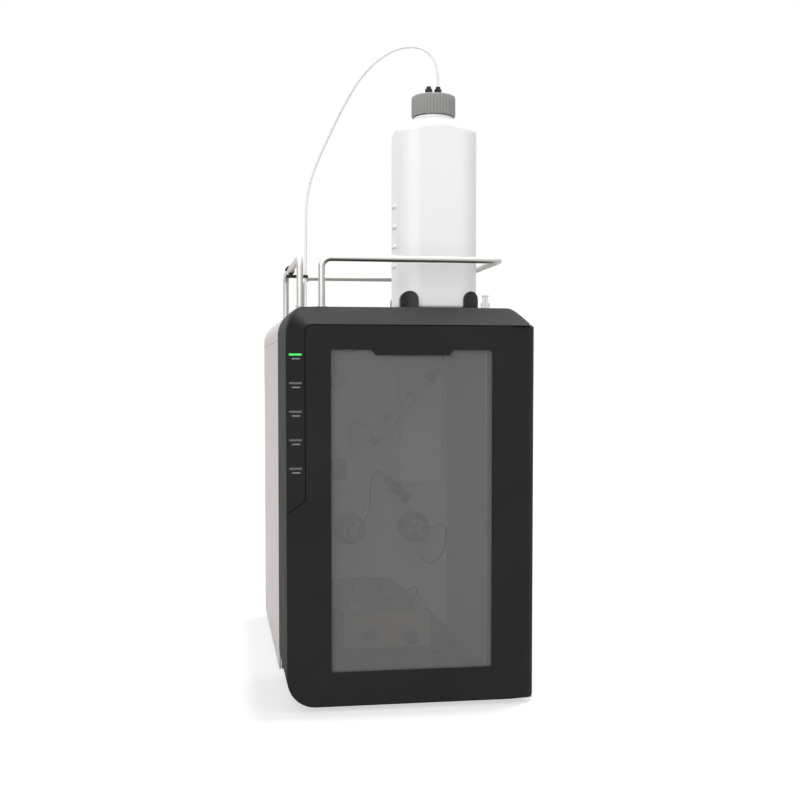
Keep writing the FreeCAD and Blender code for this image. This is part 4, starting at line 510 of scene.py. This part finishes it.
# %% The hood
FAN = np.array([SEAM_X + 8.0, DOOR_TOP - 8.0])
FAN_START, BROW_STEEP, FAN_SHARPNESS = 9.2, 4.0, 6
BROW_ROUND, BROW_TURN = 42.0, 14.0
BAY_RIGHT, SWING_ROOM = 88.8, 2.8


def brow_depth(points):
    """Depth of strip, fan and brow over the front plane, and behind that the round of the right edge."""
    offset = points - FAN
    reach = np.linalg.norm(offset, axis=1)
    rise = np.clip(offset[:, 1], 0, None) / np.maximum(reach, 1e-6)
    fan = BROW_STEEP * rise ** FAN_SHARPNESS * np.clip(reach - FAN_START, 0, None)
    brow = BROW_STEEP * np.clip(points[:, 1] - (FAN[1] + FAN_START), 0, None)
    depth = np.where(offset[:, 0] < 0, fan, brow)
    return depth + right_front(points[:, 0])


def rim_depth(x):
    """Depth of the rim: the door's back, and further back in proportion from the compartment to the right side."""
    return RIM + SWING_ROOM * np.clip((x - BAY_RIGHT) / (RIGHT - BAY_RIGHT), 0.0, 1.0)


def seam_loop(gap):
    """Door outline grown by a gap towards strip and brow, and well past the case elsewhere."""
    seam_x, high, past = SEAM_X - gap, DOOR_TOP + gap, 8.0
    return loop([(LEFT - past, DOOR_FLOOR - past), (RIGHT + past, DOOR_FLOOR - past), (RIGHT + past, high),
                 (seam_x, high), (seam_x, STRIP_BEND + gap), (LEFT - past, STRIP_FOOT + gap - past * 0.75)],
                [0, 0, 0, 8.0 + gap, 6.0, 0])


case_loop = loop(case_corners, case_rounds, 26)
brow_loop = loop(case_corners, [32.0, 10.0, 10.0, BROW_ROUND], 26)
inner_loop = loop(*inset(case_corners, case_rounds, WALL), 26)
mouth_loop = loop([(-120.8, 11.7), (BAY_RIGHT, 11.7), (BAY_RIGHT, 426.8), (-120.8, 426.8)], [0.0] * 4)
seams = [seam_loop(0.8), seam_loop(1.2)]
fan_bearings = FAN + 30 * np.stack([-np.cos(np.linspace(0, np.pi / 2, 40)), np.sin(np.linspace(0, np.pi / 2, 40))], axis=1)
angles = np.concatenate([bearing(item) for item in (case_loop, brow_loop, inner_loop, mouth_loop, *seams, fan_bearings)])
tips = []
for corner in ((RIGHT, DOOR_TOP + 0.8), (LEFT, STRIP_FOOT + 0.8)):
    tips.append(math.atan2(corner[1] - MIDDLE[1], corner[0] - MIDDLE[0]) % (2 * np.pi))
angles = np.unique(np.round(angles % (2 * np.pi), 5))
angles = angles[(np.abs(angles - tips[0]) > 2e-4) & (np.abs(angles - tips[1]) > 2e-4)]
angles = np.sort(np.concatenate([angles, tips, tips]))
first_right, last_left = np.searchsorted(angles, tips[0]) + 1, np.searchsorted(angles, tips[1])
proud = np.zeros(len(angles), bool)
proud[first_right:last_left + 1] = True

outer = cut_by_rays(case_loop, angles)
brow_edge = np.where(proud, np.minimum(cut_by_rays(brow_loop, angles), outer), outer)
seam_at = [np.where(proud, np.minimum(cut_by_rays(item, angles), brow_edge), outer) for item in seams]


def front_row(reach):
    """Row on the hood's face: on the brow where the hood is proud of the rim, and on the rim elsewhere."""
    flat = at_rays(reach, angles)
    return np.stack([flat[:, 0], np.where(proud, brow_depth(flat), rim_depth(flat[:, 0])), flat[:, 1]], axis=1)


hood_rows = [depth_row(cut_by_rays(mouth_loop, angles), RIM), depth_row(seam_at[0], rim_depth), front_row(seam_at[0])]
hood_rows += [front_row(seam_at[1] + (brow_edge - seam_at[1]) * share) for share in np.linspace(0, 1, 15)]
turned = front_row(brow_edge)
for share in np.radians(np.linspace(15, 90, 6)):
    row = front_row(brow_edge + (outer - brow_edge) * np.sin(share))
    row[:, 1] = turned[:, 1] + np.where(outer - brow_edge > 1e-6, BROW_TURN * (1 - np.cos(share)), 0.0)
    hood_rows.append(row)
hood_rows += [depth_row(outer, HOOD_REAR)]
inner_reach = cut_by_rays(inner_loop, angles)
hood_rows += [depth_row(inner_reach, HOOD_REAR), depth_row(inner_reach, HOOD_REAR - 58)]
hood_rows += [depth_row(np.minimum(inner_reach, seam_at[0] - 3.0), RIM + 6.5)]
hood_rows += [depth_row(cut_by_rays(mouth_loop, angles), RIM + 3.5)]
hood = skin("hood_shell", hood_rows, across=True)
settle(hood, black_moulding, "case", "black_moulding", "front_hood", edge=0.5)
print("hood faces:", len(hood.data.polygons))

# %% [markdown]
# Each light shines through a wide printed bar, and a shorter bar below it stands in for its caption. Prints are
# thin, so each is a plate a few hundredths of a millimetre proud of the strip.

# %% Marks on the strip
LIGHT_X, LIGHT_TOP, LIGHT_PITCH = -132.1, 398.4, 31.4


def bricks(name, centres, size):
    """Boxes of one size about many centres: the eight corners of a unit box, scaled and moved as one array."""
    unit = np.array([(x, y, z) for x in (-0.5, 0.5) for y in (-0.5, 0.5) for z in (-0.5, 0.5)])
    sides = np.array([(0, 1, 3, 2), (4, 6, 7, 5), (0, 4, 5, 1), (2, 3, 7, 6), (0, 2, 6, 4), (1, 5, 7, 3)])
    centres = np.asarray(centres, float)
    points = centres[:, None] + unit[None] * np.asarray(size, float)
    faces = np.arange(len(centres))[:, None, None] * 8 + sides[None]
    mesh = bpy.data.meshes.new(name)
    mesh.from_pydata((points.reshape(-1, 3) * MM).tolist(), [], faces.reshape(-1, 4).tolist())
    piece = bpy.data.objects.new(name, mesh)
    bpy.context.scene.collection.objects.link(piece)
    return piece


light_levels = [LIGHT_TOP - LIGHT_PITCH * row for row in range(5)]
bars = bricks("light_bars", [(LIGHT_X, FRONT - 0.02, level) for level in light_levels], (14.0, 0.1, 2.2))
settle(bars, window_light.material, "case", "light_guide")
caption_centres = [(LIGHT_X + 0.6, FRONT - 0.02, level - 4.6) for level in light_levels]
captions = bricks("strip_captions", caption_centres, (9.0, 0.1, 1.5))
settle(captions, mark_print, "case", "light_guide")

# %% [markdown]
# Most of the other pieces already have their true shape in the model. Its meshes are loose flat triangles, so a copy
# is merged, its flat faces are joined, its shading is smoothed, and its edges are rounded by a fraction of a
# millimetre, as any moulded, folded or turned edge is.


# %% Pieces taken from the model
def dressed(node, material, slot, edge=0.3, body="case", sharp=32):
    """Copy of a node's mesh, merged, smoothed and edged, that stands for the node."""
    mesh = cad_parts[node].data.copy()
    mesh.name = node + "_finished"
    tidy(mesh, flat=0.2)
    piece = bpy.data.objects.new(node + "_finished", mesh)
    bpy.context.scene.collection.objects.link(piece)
    return settle(piece, material, body, slot, node, edge=edge, sharp=sharp)


for node, edge in (("top_cover", 0.8), ("left_side_panel", 0.5), ("right_side_panel", 0.5), ("rear_panel", 0.2)):
    dressed(node, case_paint, "case_grey", edge)
for node in ("bay_liner", "drip_tray"):
    dressed(node, bay_paint_and_painted_shade, "bay_grey", 0.3)
for node in ("bottle_holder", "cap_fittings", "tube_clips", "tube_gland"):
    dressed(node, fitting_black, "fitting_black", 0.3)
for node in ("valve_bodies", "column_clips", "guard_and_nuts", "conductivity_cell", "leak_sensor"):
    dressed(node, dark_plastic, "dark_plastic", 0.3)
for node in ("suppressor", "check_valves", "pump_head"):
    dressed(node, beige_polymer, "peek_beige", 0.3)
for node in ("base_pan", "data_ports"):
    dressed(node, plated_steel, "sheet_steel", 0.15)
for node in ("rail_ferrules",):
    dressed(node, rail_steel, "rail_steel", 0.3)
for node in ("waste_outlets", "generator_cartridge"):
    dressed(node, white_plastic, "white_plastic", 0.2)
dressed("drain_fitting", spout_clear, "white_plastic", 0.2)
dressed("rubber_feet", rubber_black, "foot_rubber", 0.8)
dressed("door_liner", liner_black, "dark_plastic", 0.3, "door")
dressed("power_inlet", fitting_black, "fitting_black", 0.2)
dressed("power_rocker", fitting_black, "fitting_black", 0.2, "rocker")
dressed("fan_frame", dark_plastic, "dark_plastic", 0.2)
dressed("fan_rotor", dark_plastic, "dark_plastic", 0.2, "fan")
dressed("prime_knob", knob_grey, "knob_grey", 0.3, "prime_knob")
dressed("waste_knob", dark_plastic, "dark_plastic", 0.3, "waste_knob")
dressed("cap_insert", cap_grey, "cap_grey", 0.3)
dressed("flow_tubing", dark_plastic, "peek_beige", 0.0)
dressed("separator_column", line_clear, "peek_beige", 0.2)

# %% [markdown]
# Two small closures finish the case. The rear panel's upper corners are cut slanting, and a corner plate behind each
# fills the space up to the cover's round. Where the cover meets the side panels a dark hairline is the painted shadow
# of the gap.

# %% Case closures
for side, near_x, far_x, corner_round in (("left", -139.1, -109.2, 29.6), ("right", 139.1, 109.2, 6.6)):
    plate_outline = loop([(near_x, 423.7), (near_x, 453.6), (far_x, 453.6)], [0.0, corner_round, 0.0], 12)
    settle(slab(side + "_corner_plate", plate_outline, 267.0, 268.5), case_paint, "case", "case_grey")
seam_shadow_centres = [(side, 79.0, 418.0) for side in (LEFT, RIGHT)]
# painted shadow of the gap between the cover and the side panels
settle(bricks("cover_seam_shadows", seam_shadow_centres, (0.06, 380.0, 0.45)), dark_plastic, "case", "dark_plastic")

# %% [markdown]
# The valve heads are pale discs with dark screwed fittings in a ring. Disc and fittings are one moulding in the
# model, so the material tells them apart by depth: ahead of the disc's face it is dark.

# %% Valve heads
STATOR_FACE = -0.0801
stator = Finish("valve_head", Roughness=0.4)
_, (_, depth, _) = stator.place()
stator.set("Base_Color", stator.blend(depth > STATOR_FACE, (0.06, 0.055, 0.05), (0.46, 0.37, 0.24)))
dressed("valve_stators", stator.material, "peek_beige", 0.3)

# %% [markdown]
# What stays inside the closed case needs no new shape, only its material.

# %% Inner pieces
PLAIN = {
    "door_hinge_pins": plated_steel, "door_magnet": fitting_black, "status_lights": window_light.material,
    "panel_screws": plated_steel, "valve_actuators": milled_aluminium, "left_valve_rotor": dark_plastic,
    "right_valve_rotor": dark_plastic, "pump_mount": milled_aluminium, "left_piston": white_plastic,
    "right_piston": white_plastic, "pump_drive": milled_aluminium, "pump_motor": dark_plastic,
    "main_board": board_green, "power_supply": plated_steel, "degasser": plated_steel,
    "pickup_line": tube_skin,
}
for node, material in PLAIN.items():
    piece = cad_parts[node]
    piece.data.materials.clear()
    piece.data.materials.append(material)

# %% [markdown]
# A rail is one tube bent round a former. Its centre line is straight runs joined by arcs, and a ring of points
# carried along that line makes its skin. The ring's own turn does not matter on a round tube, so one slanted
# direction serves as its reference all the way.


# %% Rails
def bent_line(points, radius, steps=10):
    """Straight runs joined by tangent arcs of one radius, as one array of points."""
    points = np.asarray(points, float)
    corners = points[1:-1]
    back = points[:-2] - corners
    ahead = points[2:] - corners
    back /= np.linalg.norm(back, axis=1, keepdims=True)
    ahead /= np.linalg.norm(ahead, axis=1, keepdims=True)
    half = np.arccos(np.clip(np.sum(back * ahead, axis=1, keepdims=True), -1, 1)) / 2
    bisector = back + ahead
    bisector /= np.linalg.norm(bisector, axis=1, keepdims=True)
    centre = corners + bisector * radius / np.sin(half)
    first = corners + back * radius / np.tan(half) - centre
    last = corners + ahead * radius / np.tan(half) - centre
    swing = (np.pi - 2 * half)[:, None]
    share = np.linspace(0, 1, steps)[None, :, None]
    arcs = centre[:, None] + (first[:, None] * np.sin((1 - share) * swing) + last[:, None] * np.sin(share * swing)) / np.sin(swing)
    return np.concatenate([points[:1], arcs.reshape(-1, 3), points[-1:]])


def tube(name, line, radius, sides=28):
    """Ring of points square to the line at every step."""
    heading = np.gradient(line, axis=0)
    heading /= np.linalg.norm(heading, axis=1, keepdims=True)
    aside = np.cross(heading, np.array([0.51, -0.62, 0.597]))
    aside /= np.linalg.norm(aside, axis=1, keepdims=True)
    above = np.cross(heading, aside)
    turn = np.linspace(0, 2 * np.pi, sides, endpoint=False)[None, :, None]
    grid = line[:, None] + radius * (aside[:, None] * np.cos(turn) + above[:, None] * np.sin(turn))
    return skin(name, grid, caps=True)


RAIL_Z, RAIL_FOOT = 516.0, 445.0
main_line = bent_line([(-92.3, -155, RAIL_FOOT), (-92.3, -155, RAIL_Z), (127, -155, RAIL_Z), (127, 140, RAIL_Z),
                       (-92.3, 140, RAIL_Z), (-92.3, 140, RAIL_FOOT)], 11.0)
side_line = bent_line([(-118.3, -155, RAIL_FOOT), (-118.3, -155, RAIL_Z), (-118.3, 110, RAIL_Z),
                       (-118.3, 110, RAIL_FOOT)], 11.0)
settle(tube("main_rail", main_line, 4.0), rail_steel, "case", "rail_steel", "rail_main", sharp=50)
settle(tube("side_rail", side_line, 4.0), rail_steel, "case", "rail_steel", "rail_side", sharp=50)

# %% [markdown]
# The bottle is blown into a square mould and pulled up to a round neck. At each height its section is the smaller
# of two rings, a rounded square and the shoulder's circle, with a soft change from one to the other, as resin
# never fills a sharp corner. The skin runs up outside, over the mouth and down inside, so the wall is real.

# %% The bottle
BOTTLE = np.array([58.5, -75.0])
BASE_Z, SHOULDER_Z, MOUTH_Z, NECK, COLLAR = 459.5, 701.0, 724.5, 21.5, 25.0
HALF_SIDE, CORNER, RESIN_WALL = 50.0, 25.0, 1.6
CONE_FALL, BLOWN = 0.556, 30.0


def square_reach(turn, half, corner):
    """Distance to a rounded square: its flat side, or the far crossing with its corner circle."""
    fold = np.abs((turn + np.pi / 4) % (np.pi / 2) - np.pi / 4)
    flat = half / np.cos(fold)
    middle = (half - corner) * math.sqrt(2)
    away = np.pi / 4 - fold
    arc = middle * np.cos(away) + np.sqrt(np.maximum(corner ** 2 - (middle * np.sin(away)) ** 2, 0))
    return np.where(flat * np.sin(fold) < half - corner, flat, arc)


def bottle_rows(wall):
    """Heights and circle radii up one skin of the bottle, from the middle of its base to its mouth."""
    neck, collar = NECK - wall, COLLAR - wall
    eave = SHOULDER_Z - (78 - collar) * CONE_FALL
    rise = np.concatenate([np.full(1, BASE_Z + wall), BASE_Z + wall + 4 * (1 - np.cos(np.radians(np.linspace(0, 90, 6)))),
                           np.linspace(BASE_Z + 12, 652, 24), np.linspace(654, SHOULDER_Z, 48),
                           [SHOULDER_Z + 0.6, SHOULDER_Z + 1.6, SHOULDER_Z + 2.0], np.linspace(SHOULDER_Z + 5, MOUTH_Z, 4)])
    circle = np.interp(rise, [BASE_Z, eave, SHOULDER_Z, SHOULDER_Z + 1.6, SHOULDER_Z + 2.0, MOUTH_Z],
                       [78, 78, collar, collar, neck, neck])
    foot = np.concatenate([[1e-3], 1 - 0.08 * (1 - np.sin(np.radians(np.linspace(0, 90, 6)))), np.ones(len(rise) - 7)])
    return rise, circle, foot


def bottle_skin(wall):
    """One skin: soft smaller of rounded square and circle, as a ring at each height."""
    turn = np.linspace(0, 2 * np.pi, 144, endpoint=False)
    rise, circle, foot = bottle_rows(wall)
    square = square_reach(turn, HALF_SIDE - wall, CORNER - wall)[None]
    ring = circle[:, None]
    reach = (square ** -BLOWN + ring ** -BLOWN) ** (-1 / BLOWN) * foot[:, None]
    return np.stack([BOTTLE[0] + reach * np.cos(turn), BOTTLE[1] + reach * np.sin(turn),
                     np.broadcast_to(rise[:, None], reach.shape)], axis=-1)


bottle = skin("eluent_bottle", np.concatenate([bottle_skin(0.0), bottle_skin(RESIN_WALL)[::-1]]))
settle(bottle, resin, "case", "bottle_resin", "bottle", sharp=45)
grip_levels = [514.0, 539.0, 564.0, 589.5]
grips = [(BOTTLE[0] + side * 50.5, BOTTLE[1], level) for side in (-1, 1) for level in grip_levels]
settle(bricks("bottle_grips", grips, (5.0, 22.0, 4.4)), resin, "case", "bottle_resin", edge=1.6)

# %% [markdown]
# The cap is turned round its axis like a pot on a wheel, except that its side is ribbed: the radius swings in and
# out with the bearing, forty times round, with broad ribs and narrow valleys.

# %% The cap
CAP_FLOOR, CAP_HEIGHT, CAP_RADIUS, RIBS = 704.0, 26.0, 28.0, 40


def lathe(name, profile, centre, sides=96, swing=None):
    """Profile of radius and height turned round an upright axis; swing adds to the radius by row and bearing."""
    profile = np.asarray(profile, float)
    turn = np.linspace(0, 2 * np.pi, sides, endpoint=False)
    reach = np.broadcast_to(profile[:, :1], (len(profile), sides)).copy()
    if swing is not None:
        reach += swing(turn)[None] * (np.arange(len(profile)) < 4)[:, None]
    grid = np.stack([centre[0] + reach * np.cos(turn), centre[1] + reach * np.sin(turn),
                     np.broadcast_to(profile[:, 1:] + centre[2], reach.shape)], axis=-1)
    return skin(name, grid, across=True)


def ribs(turn):
    """Depth of the valleys between ribs: a narrow dip of a cosine raised to a power."""
    return -0.9 * (0.5 + 0.5 * np.cos(turn * RIBS)) ** 3


cap_profile = [(CAP_RADIUS - 0.6, 0.0), (CAP_RADIUS, 0.8), (CAP_RADIUS, CAP_HEIGHT - 3.4), (CAP_RADIUS - 0.4, CAP_HEIGHT - 1.6),
               (CAP_RADIUS - 2.4, CAP_HEIGHT - 0.2), (CAP_RADIUS - 4.0, CAP_HEIGHT), (17.3, CAP_HEIGHT),
               (17.3, CAP_HEIGHT - 3), (22.9, CAP_HEIGHT - 3), (22.9, 0.0)]
cap = lathe("ribbed_cap", cap_profile, (*BOTTLE, CAP_FLOOR), 480, ribs)
settle(cap, cap_grey, "cap", "cap_grey", "bottle_cap", sharp=40)

# %% [markdown]
# The studio is a plain pale floor under a white sky. Rays that look at the background, straight or through glass,
# see white. Rays that carry light to the object find a dimmer sky and the floor's own colour, so the white behind it
# never burns into it, and the floor keeps the object's shadow. A mirror finds what hangs over a studio table: white
# at the horizon and brighter overhead, which draws the light upper half of each rail.

# %% Floor and sky
SKY_LIGHT, SHEEN_LOW, SHEEN_HIGH = 0.57, 0.9, 2.3
FLOOR_COLOUR, FLOOR_GLOW = 0.60, 0.61


def by_ray(tree, start, *choices):
    """Value that a ray finds: start, changed to each choice's value where the ray is of the choice's kind."""
    rays = tree.nodes.new("ShaderNodeLightPath")
    value = start
    for kind, found in choices:
        mix = tree.nodes.new("ShaderNodeMix")
        for socket, item in ((mix.inputs[0], rays.outputs[kind]), (mix.inputs[2], value), (mix.inputs[3], found)):
            if isinstance(item, float):
                socket.default_value = item
            else:
                tree.links.new(item, socket)
        value = mix.outputs[0]
    return value


def overhead(tree, low, high):
    """Value that grows from low at the horizon to high from 45 degrees up, by the height of a ray's direction."""
    way = tree.nodes.new("ShaderNodeTexCoord")
    parts = tree.nodes.new("ShaderNodeSeparateXYZ")
    climb = tree.nodes.new("ShaderNodeMapRange")
    tree.links.new(way.outputs["Generated"], parts.inputs[0])
    tree.links.new(parts.outputs["Z"], climb.inputs["Value"])
    for socket, value in (("From Max", 0.7), ("To Min", low), ("To Max", high)):
        climb.inputs[socket].default_value = value
    return climb.outputs["Result"]


floor_mesh = bpy.data.meshes.new("studio_floor")
floor_mesh.from_pydata([(-40, -40, 0), (40, -40, 0), (40, 40, 0), (-40, 40, 0)], [], [(0, 1, 2, 3)])
floor = bpy.data.objects.new("studio_floor", floor_mesh)
bpy.context.scene.collection.objects.link(floor)
floor_finish = Finish("floor_pale", Base_Color=(FLOOR_COLOUR,) * 3, Roughness=1.0, Specular_IOR_Level=0.0)
floor_finish.set("Emission_Color", (1.0, 1.0, 1.0))
glow = by_ray(floor_finish.tree, 0.0, ("Is Camera Ray", FLOOR_GLOW), ("Is Glossy Ray", FLOOR_GLOW),
              ("Is Transmission Ray", FLOOR_GLOW))
floor_finish.tree.links.new(glow, floor_finish.shader.inputs["Emission Strength"])
floor_mesh.materials.append(floor_finish.material)

sky = bpy.data.worlds.new("studio_sky")
sky.use_nodes = True
bpy.context.scene.world = sky
background = sky.node_tree.nodes["Background"]
background.inputs["Color"].default_value = (1.0, 1.0, 1.0, 1.0)
sheen = overhead(sky.node_tree, SHEEN_LOW, SHEEN_HIGH)
found = by_ray(sky.node_tree, SKY_LIGHT, ("Is Glossy Ray", sheen), ("Is Transmission Ray", 1.0), ("Is Camera Ray", 1.0))
sky.node_tree.links.new(found, background.inputs["Strength"])

# %% [markdown]
# Two distant lamps do the rest, and because they are distant the floor is as light far away as it is near. One
# stands nearly overhead, a little behind on the right: it draws the tops of rails and cap, and throws a short pale
# shadow to the left and forwards. The other stands low in front on the left and fills the sides that face it. It is
# linked to everything but the floor, so that the floor shows one shadow and not two.


# %% Lamps
def lamp(name, towards, spread, strength):
    """Distant lamp that shines from a direction; spread is its width in degrees, which softens its shadow."""
    data = bpy.data.lights.new(name, "SUN")
    data.angle = math.radians(spread)
    data.energy = strength
    item = bpy.data.objects.new(name, data)
    flat = math.hypot(towards[0], towards[1])
    item.rotation_euler = (math.atan2(flat, towards[2]), 0.0, math.atan2(towards[0], -towards[1]))
    bpy.context.scene.collection.objects.link(item)
    return item


lamp("overhead_lamp", (0.098, 0.07, 1.0), 5.0, 1.00)
fill = lamp("fill_lamp", (-0.6, -1.3, 0.5), 60.0, 1.60)
unlit = bpy.data.collections.new("not_lit_by_fill")
unlit.objects.link(floor)
unlit.collection_objects[0].light_linking.link_state = "EXCLUDE"
fill.light_linking.receiver_collection = unlit

# %% [markdown]
# Colours are shown as they are, with no film curve.

# %% Finish
bpy.context.scene.view_settings.view_transform = "Standard"
